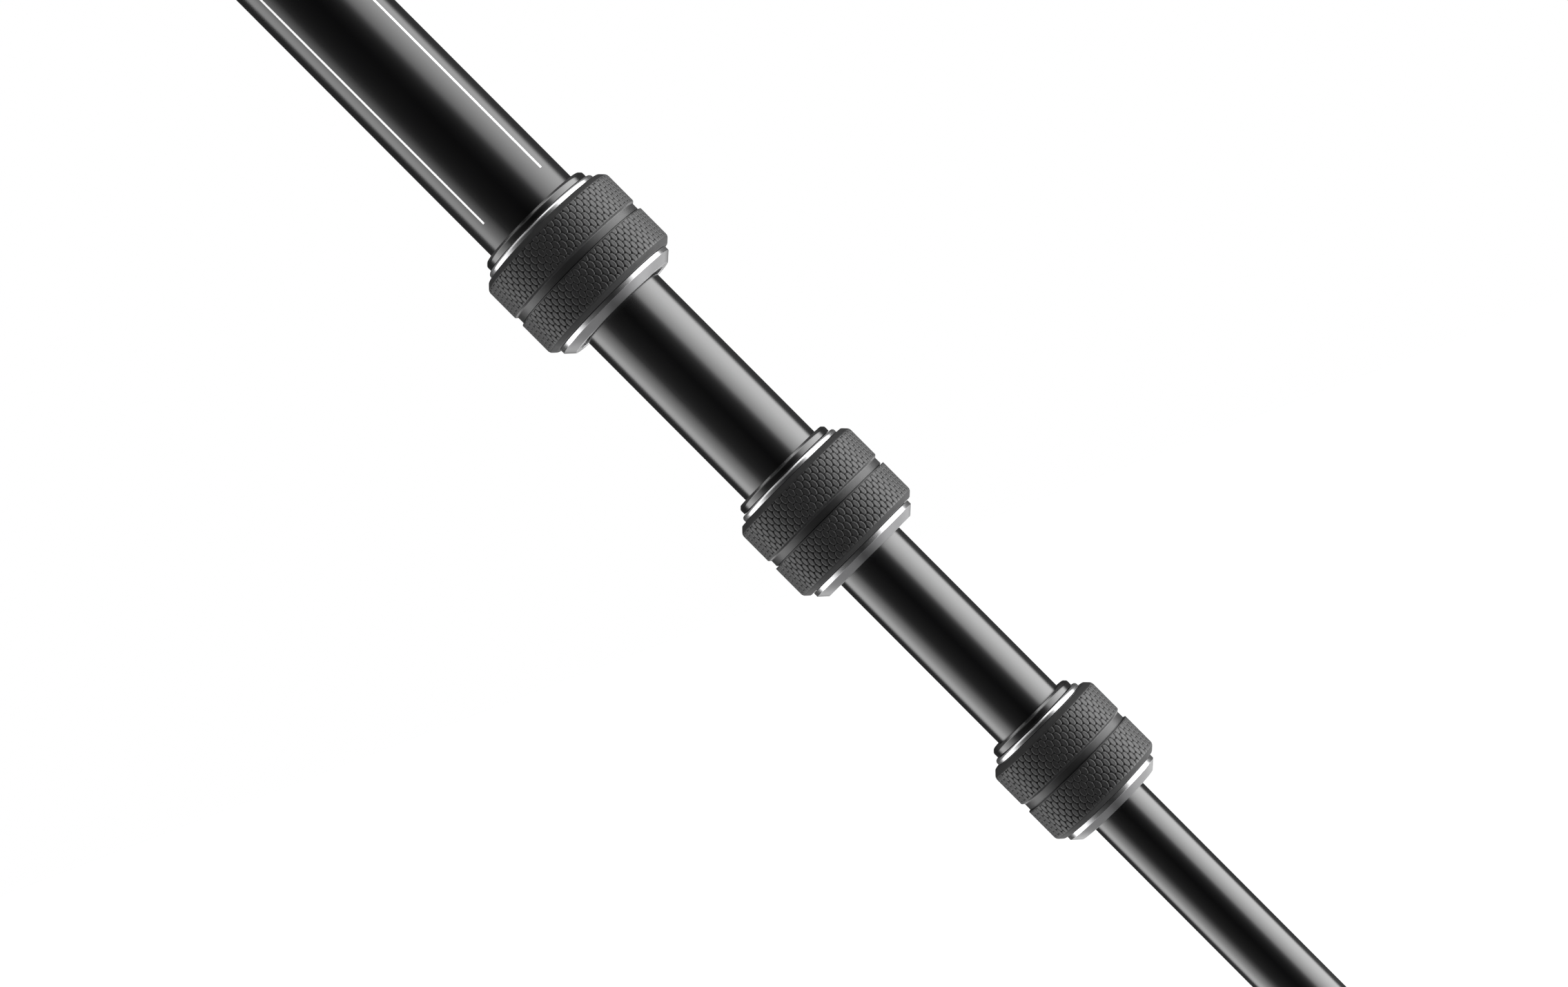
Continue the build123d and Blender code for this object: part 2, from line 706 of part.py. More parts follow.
def centre_nodes():
    """The nodes on the column's axis: each name with its pieces."""
    lock_top = column_plane(HUB_TOP)
    lock_radius = COLUMN_RADIUS + TUBE_STEP
    return {
        "shoulder": [shoulder()],
        "column_bushes": [column_guide(), clamp_bush(lock_top, lock_radius)],
        "column_lock_collar": [lock_collar(lock_top, lock_radius)],
        "column_lock_grip": [lock_grip(lock_top, lock_radius)],
        "column_tube": [column_tube()],
        "column_cap": [column_cap()],
        "head_plate": [head_plate()],
        "head_stud": [head_stud()],
    }


def write_node(name, pieces, azimuths=(0,)):
    """Writes a node's pieces, turned about the column to each azimuth, to the node's STEP file."""
    with BuildPart() as node:
        for azimuth in azimuths:
            for piece in pieces:
                add(piece.part, rotation=(0, 0, azimuth))
    node.part.label = name
    export_step(node.part, f"parts/{name}.step")


def main():
    os.makedirs("parts", exist_ok=True)
    for name, pieces in centre_nodes().items():
        write_node(name, pieces)
    write_node("pivot_bolts", [pivot_bolt(), pivot_nut()], LEG_AZIMUTHS.values())
    for name, pieces in leg_nodes().items():
        for letter, azimuth in LEG_AZIMUTHS.items():
            write_node(f"leg_{letter}_{name}", pieces, [azimuth])


if __name__ == "__main__":
    main()
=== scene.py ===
import json
import math

import bmesh
import bpy
import numpy as np
from bpy.props import FloatProperty, FloatVectorProperty, PointerProperty
from mathutils import Matrix, Vector


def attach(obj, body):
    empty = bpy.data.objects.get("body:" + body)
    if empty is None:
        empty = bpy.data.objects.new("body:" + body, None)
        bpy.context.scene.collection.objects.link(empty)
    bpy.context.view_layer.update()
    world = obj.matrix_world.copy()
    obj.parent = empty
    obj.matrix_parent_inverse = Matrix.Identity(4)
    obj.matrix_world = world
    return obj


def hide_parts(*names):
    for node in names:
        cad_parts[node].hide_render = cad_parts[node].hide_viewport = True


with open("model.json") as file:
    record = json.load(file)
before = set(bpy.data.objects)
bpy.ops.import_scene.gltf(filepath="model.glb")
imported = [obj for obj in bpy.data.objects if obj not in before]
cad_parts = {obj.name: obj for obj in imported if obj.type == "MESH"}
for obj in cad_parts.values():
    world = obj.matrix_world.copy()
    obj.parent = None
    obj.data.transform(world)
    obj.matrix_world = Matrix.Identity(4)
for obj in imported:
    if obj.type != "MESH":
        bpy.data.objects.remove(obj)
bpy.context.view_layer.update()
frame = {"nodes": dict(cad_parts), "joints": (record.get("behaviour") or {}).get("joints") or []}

bl_info = {
    "name": "Travel tripod",
    "version": (1, 0, 0),
    "blender": (4, 5, 0),
    "location": "View3D > Sidebar > Tripod",
    "description": "Dresses a four-section travel tripod and sets it in a white studio",
    "category": "Add Mesh",
}

# Lengths in the tables below are in millimetres. Those of a leg run down it from its pivot, those of a
# lock run from its top face, and those of the column run up from the pivots.
MM = 0.001
LEGS = ("a", "b", "c")
TUBE_RADII = {1: 11.0, 2: 9.5, 3: 8.0, 4: 6.5}
TUBE_STEP = 1.5
TUBE_WALL = 1.1
TUBE_SPAN = {1: (24.0, 303.0), 2: (93.6, 371.6), 3: (141.2, 440.2), 4: (220.0, 543.0)}
KEYWAY_HALF = 1.2
KEYWAY_DEPTH = 0.45
LOCK_AT = {1: 290.0, 2: 358.6, 3: 427.2}
FOOT_AT = 527.0
STRIPE_SPAN = (38.0, 284.8)
STRIPE_ANGLES = (43.1, 133.2)
HUB_TOP = 13.0
COLUMN_RADIUS = 11.0
COLUMN_WALL = 1.5
COLUMN_SPAN = (-225.0, 40.0)
PLATE_FACE = 46.05
STUD_RADIUS = 4.7625
STUD_PROUD = 11.0
# How far a lock's grip, its upper ring, its core and the ring at its mouth stand over the tube above
GRIP_PROUD = 5.3
RING_PROUD = 3.0
CORE_PROUD = 2.6
MOUTH_PROUD = 3.4
# The guide shims: how far below a tube's top they start, their length, and half the width and the height
# of the key
SHIM_DOWN = 2.0
SHIM_LENGTH = 28.0
KEY_HALF = 1.0
KEY_HEIGHT = 0.36
# The foot: where its two tread grooves start, and the middle and radius of its ball
TREAD_AT = (12.6, 15.2)
BALL_AT = 18.4
BALL_RADIUS = 9.6
# Points round a turned piece, round a tube, and round and along one scale of the rubber
AROUND = 144
TUBE_AROUND = 180
SCALE_AROUND = 8
SCALE_ALONG = 14
# The rubber's scales: the two bands that they fill, the middle of one scale, half its length and width, and
# how square its outline is
SCALE_BANDS = ((4.2, 11.5), (13.8, 21.1))
SCALE_PHASE = 5.4
SCALE_HALF = (0.875, 0.54)
SCALE_SQUARE = 2.4
# How bright the painted shade in the gaps between the scales is, as a share of the rubber's colour, and how much
# rougher the rubber is there
GAP_PAINTED_SHADE = 0.15
GAP_ROUGHER = 0.5

# Finishes that a lock's collar and grip use, in the order of their material slots
BRIGHT, SATIN = 0, 1
PLAIN, SCALED, GROOVED = 0, 1, 2


# ---------------------------------------------------------------- settings

def length(name, description, default):
    """A setting in metres, given in millimetres."""
    return FloatProperty(
        name=name, description=description, default=default * MM, min=0.0,
        precision=6, subtype="DISTANCE", unit="LENGTH",
    )


def colour(name, description, *default):
    """A colour setting, given as linear red, green and blue."""
    return FloatVectorProperty(
        name=name, description=description, default=default, size=3, min=0.0, max=1.0, subtype="COLOR",
    )


class TripodSizes(bpy.types.PropertyGroup):
    """Sizes of the details that the CAD model leaves to the scene"""

    scale_length: length("Scale length", "Pitch of the rubber's scales along a grip", 1.872)
    scale_width: length("Scale width", "Pitch of the columns of scales round a grip", 1.045)
    scale_height: length("Scale height", "How deep the gaps between the scales are", 0.21)
    scale_dish: length("Scale dish", "How far the middle of a scale is dished", 0.02)
    stripe_width: length("Stripe width", "Width of the two white stripes on a top tube", 0.52)
    stripe_proud: length("Stripe thickness", "How far the stripes stand over the tube", 0.02)
    thread_pitch: length("Thread pitch", "Pitch of the head stud's thread, sixteen to the inch", 1.5875)
    thread_depth: length("Thread depth", "Depth of the head stud's thread", 0.95)
    edge_round: length("Edge rounding", "Rounding of the castings' edges", 0.35)


class TripodColours(bpy.types.PropertyGroup):
    """Colours of the tripod's finishes"""

    anodised: colour("Black tube", "Glossy black anodised tube", 0.003, 0.003, 0.0034)
    flange: colour("Lock flange", "Black moulded flange over each collar", 0.003, 0.003, 0.0032)
    aluminium: colour("Bright rings", "Turned aluminium", 0.86, 0.86, 0.87)
    cone: colour("Collar cone", "Blasted grey aluminium below the bright ring", 0.18, 0.18, 0.183)
    rubber: colour("Grip rubber", "Dark rubber of the grips' scales", 0.021, 0.021, 0.0215)
    rim: colour("Grip rims", "Rubber of the plain rims of a grip", 0.01, 0.01, 0.0103)
    groove: colour("Grip groove", "Smooth rubber in a grip's groove", 0.02, 0.02, 0.0205)
    foot: colour("Foot rubber", "Black rubber of the feet and the column's plug", 0.022, 0.022, 0.022)
    casting: colour("Castings", "Satin black shoulder, knuckles and head plate", 0.02, 0.02, 0.021)
    worn: colour("Worn edge", "Metal that shows where an edge has rubbed", 0.25, 0.25, 0.26)
    latch: colour("Latches", "Satin dark grey angle latches", 0.045, 0.045, 0.048)
    steel: colour("Steel", "Bolts and the head stud", 0.42, 0.42, 0.43)
    plastic: colour("Bushes", "Dark grey plastic of the bushes and shims", 0.03, 0.03, 0.031)
    stripe: colour("Stripes", "Silver white of the etched stripes", 0.9, 0.9, 0.9)


class TripodStage(bpy.types.PropertyGroup):
    """The studio round the tripod"""

    floor_shade: FloatProperty(
        name="Floor shade", description="How much of the floor's white comes from the light on it",
        default=0.28, min=0.0, max=1.0, subtype="FACTOR",
    )
    lamp_level: FloatProperty(
        name="Light level", description="Radiance of the two long soft lights", default=3.6, min=0.0,
    )
    camera_distance: length("Camera distance", "Camera to the plane of leg A", 1080.0)
    lens: FloatProperty(name="Lens", description="Focal length in millimetres", default=126.8, unit="CAMERA")


# ---------------------------------------------------------------- where things are

def joint(name):
    return next(j for j in frame["joints"] if j["name"] == name)


def leg_frame(leg):
    """A leg's own axes: the origin at its pivot, Z down the leg, and Y along the pivot bolt."""
    hinge = joint(f"leg_{leg}_hinge")
    down = Vector(joint(f"leg_{leg}_lock_1_twist")["axis"])
    bolt = Vector(hinge["axis"])
    axes = Matrix((bolt.cross(down), bolt, down)).transposed().to_4x4()
    return Matrix.Translation(hinge["pos_m"]) @ axes


def column_frame():
    """The column's axes: the origin level with the pivots, and Z up."""
    return Matrix.Translation((0, 0, joint("leg_a_hinge")["pos_m"][2]))


def down_by(distance):
    return Matrix.Translation((0, 0, distance * MM))


# ---------------------------------------------------------------- turned shapes

def unit(vector):
    return vector / max(np.linalg.norm(vector), 1e-9)


def rounded(corners, closed=True):
    """The points of an outline whose corners are rounded, and the finish of the run that follows each.
    A corner is its radius, distance and rounding, then the finish of the run after it if that isn't 0."""
    corners = [(*c, 0)[:4] for c in corners]
    points, finishes = [], []
    for n, (radius, distance, rounding, finish) in enumerate(corners):
        here = np.array((radius, distance), float)
        if rounding == 0 or (not closed and n in (0, len(corners) - 1)):
            points.append(here)
            finishes.append(finish)
            continue
        before = np.array(corners[n - 1][:2]) - here
        after = np.array(corners[(n + 1) % len(corners)][:2]) - here
        reach = min(rounding, 0.4 * np.linalg.norm(before), 0.4 * np.linalg.norm(after))
        start, end = here + unit(before) * reach, here + unit(after) * reach
        arc = [(1 - s) ** 2 * start + 2 * s * (1 - s) * here + s * s * end for s in (0, 0.25, 0.5, 0.75, 1)]
        points += [start + 0.25 * (start - here), *arc, end + 0.25 * (end - here)]
        finishes += [corners[n - 1][3]] * 3 + [finish] * 4
    return np.array(points), finishes


def arc_corners(centre, radius, start, end, steps):
    """Corners along an arc about a point on the axis, from one angle over the level to another."""
    for n in range(steps + 1):
        angle = math.radians(start + (end - start) * n / steps)
        yield (radius * math.cos(angle), centre + radius * math.sin(angle), 0)


def turned_mesh(name, points, finishes, materials, closed=True, span=None, steps=AROUND, relief=None):
    """Turns an outline about Z, all the way round, or over a span of angles with an end face at each end.
    relief takes the radii, distances and angles, and gives the radii that the surface has."""
    following = np.roll(points, -1, axis=0)
    if np.sum(points[:, 0] * following[:, 1] - following[:, 0] * points[:, 1]) < 0:
        points = points[::-1]
        finishes = finishes[::-1][1:] + finishes[::-1][:1]
    if span is None:
        angles = np.arange(steps) * 2 * math.pi / steps
    else:
        angles = np.radians(np.linspace(*span, steps + 1))
    radii = np.repeat(points[:, :1], len(angles), axis=1)
    distances = np.repeat(points[:, 1:], len(angles), axis=1)
    if relief:
        radii = relief(radii, distances, angles[None, :])
    corners = np.stack((radii * np.cos(angles), radii * np.sin(angles), distances), axis=-1)
    rows, columns = len(points), len(angles)
    row = np.arange(rows if closed else rows - 1)[:, None]
    column = np.arange(columns if span is None else columns - 1)[None, :]
    next_row, next_column = (row + 1) % rows, (column + 1) % columns
    quads = np.stack(
        np.broadcast_arrays(
            row * columns + column, row * columns + next_column,
            next_row * columns + next_column, next_row * columns + column,
        ),
        axis=-1,
    ).reshape(-1, 4)
    faces = quads.tolist()
    looks = np.repeat([finishes[n] for n in row[:, 0]], column.shape[1]).tolist()
    if span is not None:
        faces += [[n * columns for n in range(rows)], [n * columns + columns - 1 for n in range(rows)][::-1]]
        looks += [0, 0]
    mesh = bpy.data.meshes.new(name)
    mesh.from_pydata((corners.reshape(-1, 3) * MM).tolist(), [], faces)
    for material in materials:
        mesh.materials.append(material)
    mesh.polygons.foreach_set("material_index", looks)
    mesh.polygons.foreach_set("use_smooth", [True] * len(faces))
    if not closed:
        work = bmesh.new()
        work.from_mesh(mesh)
        bmesh.ops.remove_doubles(work, verts=work.verts, dist=1e-7)
        work.to_mesh(mesh)
        work.free()
    mesh.update()
    return mesh


def joined_mesh(name, meshes):
    """One mesh from several that share their material slots."""
    work = bmesh.new()
    for mesh in meshes:
        work.from_mesh(mesh)
    whole = bpy.data.meshes.new(name)
    work.to_mesh(whole)
    work.free()
    for material in meshes[0].materials:
        whole.materials.append(material)
    for mesh in meshes:
        bpy.data.meshes.remove(mesh)
    return whole


def place(name, mesh, matrix, body, slot, *nodes):
    """Puts a piece on a body in the place of CAD nodes."""
    piece = bpy.data.objects.new(name, mesh)
    bpy.context.scene.collection.objects.link(piece)
    piece.matrix_world = matrix
    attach(piece, body)
    if nodes:
        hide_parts(*nodes)
    return piece


# ---------------------------------------------------------------- shader node groups

def add_node(tree, kind, inputs=None, **settings):
    """Adds a node, with its settings, and a value or a link for each input that is named."""
    node = tree.nodes.new(kind)
    for name, value in settings.items():
        setattr(node, name, value)
    for name, value in (inputs or {}).items():
        if isinstance(value, bpy.types.NodeSocket):
            tree.links.new(value, node.inputs[name])
        else:
            node.inputs[name].default_value = value
    return node


def mixed(tree, mask, colour_from, colour_to):
    """A colour that goes from a linked one to a plain one where the mask is 1."""
    mix = add_node(tree, "ShaderNodeMix", {"Factor": mask}, data_type="RGBA")
    tree.links.new(colour_from, mix.inputs[6])
    mix.inputs[7].default_value = (*colour_to, 1.0)
    return mix.outputs[2]


def maths(tree, operation, *values, **settings):
    return add_node(tree, "ShaderNodeMath", dict(enumerate(values)), operation=operation, **settings).outputs[0]


def node_group(name, inputs, outputs):
    """The group of that name, made with these sockets if it is new, and its input and output nodes."""
    tree = bpy.data.node_groups.new(name, "ShaderNodeTree")
    for label, kind, value in inputs:
        socket = tree.interface.new_socket(label, in_out="INPUT", socket_type=f"NodeSocket{kind}")
        if value is not None:
            socket.default_value = value
    for label, kind in outputs:
        tree.interface.new_socket(label, in_out="OUTPUT", socket_type=f"NodeSocket{kind}")
    return tree, tree.nodes.new("NodeGroupInput").outputs, tree.nodes.new("NodeGroupOutput").inputs


def fine_grain():
    """Moulded or cast grain: a height from small noise over pits."""
    tree, given, result = node_group(
        "Fine grain", [("Vector", "Vector", None), ("Size", "Float", 0.0005)], [("Height", "Float")]
    )
    scale = maths(tree, "DIVIDE", 1.0, given["Size"])
    noise = add_node(
        tree, "ShaderNodeTexNoise", {"Vector": given["Vector"], "Scale": scale, "Detail": 3.0, "Roughness": 0.6},
    )
    pits = add_node(tree, "ShaderNodeTexVoronoi", {"Vector": given["Vector"], "Scale": scale}, feature="SMOOTH_F1")
    tree.links.new(maths(tree, "MULTIPLY_ADD", pits.outputs["Distance"], 0.5, noise.outputs["Fac"]), result["Height"])
    return tree


def handling_marks():
    """Slow variation from handling, from a low value to a high one."""
    tree, given, result = node_group(
        "Handling marks",
        [("Vector", "Vector", None), ("Size", "Float", 0.02), ("Low", "Float", 0.2), ("High", "Float", 0.3)],
        [("Value", "Float")],
    )
    scale = maths(tree, "DIVIDE", 1.0, given["Size"])
    noise = add_node(
        tree, "ShaderNodeTexNoise",
        {"Vector": given["Vector"], "Scale": scale, "Detail": 5.0, "Roughness": 0.62, "Distortion": 0.8},
    )
    value = add_node(
        tree, "ShaderNodeMapRange",
        {
            "Value": noise.outputs["Fac"], "From Min": 0.3, "From Max": 0.7,
            "To Min": given["Low"], "To Max": given["High"],
        },
    )
    tree.links.new(value.outputs["Result"], result["Value"])
    return tree


def tone_drift():
    """A colour that drifts a little lighter and darker over the surface."""
    tree, given, result = node_group(
        "Tone drift",
        [("Vector", "Vector", None), ("Colour", "Color", None), ("Size", "Float", 0.01), ("Drift", "Float", 0.15)],
        [("Colour", "Color")],
    )
    scale = maths(tree, "DIVIDE", 1.0, given["Size"])
    noise = add_node(
        tree, "ShaderNodeTexNoise", {"Vector": given["Vector"], "Scale": scale, "Detail": 6.0, "Roughness": 0.6},
    )
    swing = maths(tree, "SUBTRACT", noise.outputs["Fac"], 0.5)
    factor = maths(tree, "MULTIPLY_ADD", swing, maths(tree, "MULTIPLY", given["Drift"], 2.0), 1.0)
    scaled = add_node(tree, "ShaderNodeVectorMath", {0: given["Colour"], "Scale": factor}, operation="SCALE")
    tree.links.new(scaled.outputs["Vector"], result["Colour"])
    return tree


def scale_gaps():
    """A mask of the narrow gaps between the staggered scales round Z."""
    tree, given, result = node_group(
        "Scale gaps",
        [("Vector", "Vector", None), ("Columns", "Float", 98.0), ("Across", "Float", 0.001), ("Pitch", "Float", 0.002)],
        [("Gap", "Float")],
    )
    place_in = add_node(tree, "ShaderNodeSeparateXYZ", {"Vector": given["Vector"]}).outputs
    turn = maths(tree, "ARCTAN2", place_in["Y"], place_in["X"])
    column = maths(tree, "MULTIPLY", maths(tree, "DIVIDE", turn, 2 * math.pi), given["Columns"])
    from_middle = maths(tree, "DIVIDE", maths(tree, "SUBTRACT", place_in["Z"], SCALE_PHASE * MM), given["Pitch"])
    near = []
    for step in (0.0, 1.0):
        nearest = maths(tree, "ADD", maths(tree, "FLOOR", column), step)
        stagger = maths(tree, "FRACT", maths(tree, "MULTIPLY", nearest, 0.5))
        along = maths(tree, "SUBTRACT", from_middle, stagger)
        along = maths(tree, "SUBTRACT", along, maths(tree, "ROUND", along))
        beside = maths(tree, "SUBTRACT", column, nearest)
        terms = []
        for part, scale, half in ((along, given["Pitch"], SCALE_HALF[0]), (beside, given["Across"], SCALE_HALF[1])):
            share = maths(tree, "MULTIPLY", maths(tree, "ABSOLUTE", part), maths(tree, "DIVIDE", scale, half * MM))
            terms.append(maths(tree, "POWER", share, SCALE_SQUARE))
        near.append(maths(tree, "ADD", *terms))
    gap = add_node(
        tree, "ShaderNodeMapRange", {"Value": maths(tree, "MINIMUM", *near), "From Min": 0.93, "From Max": 1.1},
        interpolation_type="SMOOTHSTEP",
    )
    tree.links.new(gap.outputs["Result"], result["Gap"])
    return tree


def turned_lines():
    """Fine lines that a lathe tool leaves round Z, on walls and on faces."""
    tree, given, result = node_group(
        "Turned lines", [("Vector", "Vector", None), ("Pitch", "Float", 0.0001)], [("Height", "Float")]
    )
    parts = add_node(tree, "ShaderNodeSeparateXYZ", {"Vector": given["Vector"]})
    flat = add_node(tree, "ShaderNodeCombineXYZ", {"X": parts.outputs["X"], "Y": parts.outputs["Y"]})
    radius = add_node(tree, "ShaderNodeVectorMath", {0: flat.outputs["Vector"]}, operation="LENGTH")
    across = add_node(tree, "ShaderNodeCombineXYZ", {"X": radius.outputs["Value"], "Y": parts.outputs["Z"]})
    scale = maths(tree, "DIVIDE", 1.0, given["Pitch"])
    lines = add_node(
        tree, "ShaderNodeTexNoise", {"Vector": across.outputs["Vector"], "Scale": scale, "Detail": 2.0},
        noise_dimensions="2D",
    )
    tree.links.new(lines.outputs["Fac"], result["Height"])
    return tree


def edge_wear():
    """A mask of rubbed edges, broken up by noise."""
    tree, given, result = node_group(
        "Edge wear",
        [("Vector", "Vector", None), ("Radius", "Float", 0.0005), ("Amount", "Float", 0.5)],
        [("Mask", "Float")],
    )
    soft = add_node(tree, "ShaderNodeBevel", {"Radius": given["Radius"]}, samples=4)
    hard = add_node(tree, "ShaderNodeNewGeometry")
    along = add_node(
        tree, "ShaderNodeVectorMath", {0: soft.outputs["Normal"], 1: hard.outputs["Normal"]}, operation="DOT_PRODUCT"
    )
    edge = add_node(
        tree, "ShaderNodeMapRange", {"Value": along.outputs["Value"], "From Min": 0.995, "From Max": 0.93}
    )
    noise = add_node(
        tree, "ShaderNodeTexNoise", {"Vector": given["Vector"], "Scale": 420.0, "Detail": 5.0, "Roughness": 0.7},
    )
    broken = add_node(tree, "ShaderNodeMapRange", {"Value": noise.outputs["Fac"], "From Min": 0.5, "From Max": 0.62})
    mask = maths(tree, "MULTIPLY", edge.outputs["Result"], broken.outputs["Result"])
    tree.links.new(maths(tree, "MULTIPLY", mask, given["Amount"]), result["Mask"])
    return tree


GROUP_MAKERS = {
    "Fine grain": fine_grain,
    "Handling marks": handling_marks,
    "Tone drift": tone_drift,
    "Scale gaps": scale_gaps,
    "Turned lines": turned_lines,
    "Edge wear": edge_wear,
}


def effect(tree, name, vector, **inputs):
    """Places a shared group in a material, with its values, and gives its output."""
    group = bpy.data.node_groups.get(name) or GROUP_MAKERS[name]()
    values = {"Vector": vector, **{label.capitalize(): value for label, value in inputs.items()}}
    return add_node(tree, "ShaderNodeGroup", values, node_tree=group).outputs[0]


# ---------------------------------------------------------------- materials

def finish(
    name, tone, roughness, metallic=0.0, ior=1.5, drift=0.12, drift_size=6.0, marks=14.0,
    grain=None, lines=None, worn=None, wear=0.0, wear_radius=0.4, scales=None,
):
    """A material of this tripod. roughness is its least and most. grain and lines are a size and a depth in
    millimetres. worn is the colour that shows on rubbed edges, and wear how much of it there is. scales is
    the number of columns of scales, and the widths of a column and of a scale's length in millimetres."""
    if name in bpy.data.materials:
        return bpy.data.materials[name]
    material = bpy.data.materials.new(name)
    material.use_nodes = True
    material.diffuse_color = (*tone, 1.0)
    tree = material.node_tree
    shader = tree.nodes["Principled BSDF"]
    place_of = add_node(tree, "ShaderNodeTexCoord").outputs["Object"]
    shader.inputs["Metallic"].default_value = metallic
    shader.inputs["IOR"].default_value = ior
    shade = effect(tree, "Tone drift", place_of, colour=(*tone, 1.0), size=drift_size * MM, drift=drift)
    if worn:
        mask = effect(tree, "Edge wear", place_of, radius=wear_radius * MM, amount=wear)
        shade = mixed(tree, mask, shade, worn)
    if scales:
        columns, across, pitch = scales
        gaps = effect(tree, "Scale gaps", place_of, columns=columns, across=across * MM, pitch=pitch * MM)
        # Painted shade: the gaps between the scales are darkened to a small share of the rubber's colour
        shade = mixed(tree, gaps, shade, [GAP_PAINTED_SHADE * part for part in tone])
    tree.links.new(shade, shader.inputs["Base Color"])
    rough = effect(tree, "Handling marks", place_of, size=marks * MM, low=roughness[0], high=roughness[1])
    if scales:
        rough = maths(tree, "MULTIPLY_ADD", gaps, GAP_ROUGHER, rough, use_clamp=True)
    tree.links.new(rough, shader.inputs["Roughness"])
    normal = None
    for label, detail in (("Fine grain", grain), ("Turned lines", lines)):
        if detail:
            size, depth = detail
            measure = "size" if label == "Fine grain" else "pitch"
            height = effect(tree, label, place_of, **{measure: size * MM})
            bump = add_node(tree, "ShaderNodeBump", {"Height": height, "Distance": depth * MM})
            if normal:
                tree.links.new(normal, bump.inputs["Normal"])
            normal = bump.outputs["Normal"]
    if normal:
        tree.links.new(normal, shader.inputs["Normal"])
    return material


def colours():
    return bpy.context.scene.tripod_colours


def black_tube():
    return finish("Black anodised tube", colours().anodised, (0.17, 0.2), ior=2.1, drift=0.3, drift_size=20,
                  marks=30, grain=(0.25, 0.0004))


def satin_tube():
    return finish("Satin black tube", colours().anodised, (0.19, 0.23), ior=1.8, drift=0.3, drift_size=20,
                  marks=30, grain=(0.2, 0.0008))


def lock_flange():
    return finish("Black lock flange", colours().flange, (0.14, 0.18), ior=2.1, marks=5, lines=(0.2, 0.0006))


def bright_ring():
    return finish("Turned aluminium", colours().aluminium, (0.2, 0.26), metallic=1.0, drift=0.05, drift_size=3,
                  marks=6, lines=(0.12, 0.0015))


def satin_cone():
    return finish("Blasted grey aluminium", colours().cone, (0.3, 0.37), metallic=1.0, drift=0.08, drift_size=4,
                  marks=5, grain=(0.12, 0.002))


def grip_rubber():
    return finish("Grip rubber", colours().rim, (0.52, 0.62), ior=1.45, drift=0.22, drift_size=2.5, marks=4,
                  grain=(0.14, 0.02))


def scale_rubber(outside, columns, sizes):
    """The rubber of a grip that has so many columns of scales, with painted shade in the gaps between them."""
    lattice = (columns, 2 * math.pi * outside / columns, sizes.scale_length / MM)
    return finish(f"Scaled rubber {columns}", colours().rubber, (0.4, 0.5), ior=1.7, drift=0.25, drift_size=1.6,
                  marks=3, grain=(0.13, 0.018), scales=lattice)


def groove_rubber():
    return finish("Groove rubber", colours().groove, (0.34, 0.42), ior=1.7, drift=0.18, drift_size=2.5, marks=5,
                  grain=(0.13, 0.015))


def foot_rubber():
    return finish("Foot rubber", colours().foot, (0.6, 0.75), drift=0.3, drift_size=5, marks=8, grain=(0.3, 0.02))


def black_casting():
    return finish("Satin black casting", colours().casting, (0.36, 0.46), ior=1.6, drift=0.2, drift_size=8, marks=10,
                  grain=(0.35, 0.008), worn=colours().worn, wear=0.35)


def latch_paint():
    return finish("Satin latch", colours().latch, (0.34, 0.42), metallic=0.5, drift=0.15, marks=5,
                  grain=(0.2, 0.004), worn=colours().worn, wear=0.55, wear_radius=0.3)


def bolt_steel():
    return finish("Brushed steel", colours().steel, (0.36, 0.46), metallic=1.0, drift=0.1, drift_size=2, marks=4,
                  grain=(0.1, 0.002))


def stud_steel():
    return finish("Turned steel", colours().steel, (0.24, 0.34), metallic=1.0, drift=0.1, drift_size=2, marks=4,
                  lines=(0.1, 0.001))


def bush_plastic():
    return finish("Bush plastic", colours().plastic, (0.42, 0.52), drift=0.12, drift_size=6, marks=8,
                  grain=(0.3, 0.004))


def stripe_etching():
    return finish("Etched stripe", colours().stripe, (0.42, 0.5), metallic=1.0, drift=0.04, drift_size=3, marks=6,
                  grain=(0.15, 0.002))


def plate_black():
    return finish("Black turned plate", colours().anodised, (0.26, 0.34), ior=1.9, drift=0.2, drift_size=12, marks=12,
                  lines=(0.35, 0.006), worn=colours().worn, wear=0.3)


# ---------------------------------------------------------------- leg tubes

def tube_mesh(name, radius, wall, span, material, keyway_angle=None, keyway_inside=True):
    """A drawn tube with eased ends, and a keyway down its inside or its outside."""
    bore = radius - wall
    keyed = bore if keyway_inside else radius
    sign = 1 if keyway_inside else -1

    def cut_keyway(radii, distances, angles):
        off = np.abs(np.angle(np.exp(1j * (angles - math.radians(keyway_angle)))))
        inside = (off * keyed < KEYWAY_HALF) & (np.abs(radii - keyed) < 0.01)
        return radii + sign * KEYWAY_DEPTH * inside

    start, end = span
    points, finishes = rounded([(radius, start, 0.12), (radius, end, 0.12), (bore, end, 0.12), (bore, start, 0.12)])
    relief = cut_keyway if keyway_angle is not None else None
    return turned_mesh(name, points, finishes, [material], steps=TUBE_AROUND, relief=relief)


class TRIPOD_OT_leg_tubes(bpy.types.Operator):
    """Make the four tubes of each leg, with a keyway inside the upper three"""

    bl_idname = "tripod.leg_tubes"
    bl_label = "Leg tubes"

    def execute(self, context):
        for section, radius in TUBE_RADII.items():
            material = satin_tube() if section == 1 else black_tube()
            mesh = tube_mesh(
                f"Tube {section}", radius, TUBE_WALL, TUBE_SPAN[section], material,
                keyway_angle=270 if section < 4 else None,
            )
            for leg in LEGS:
                body = f"leg_{leg}_upper" if section == 1 else f"leg_{leg}_section_{section}"
                node = f"leg_{leg}_tube_{section}"
                place(f"{node}_drawn", mesh, leg_frame(leg), body, "black_anodised", node)
        return {"FINISHED"}


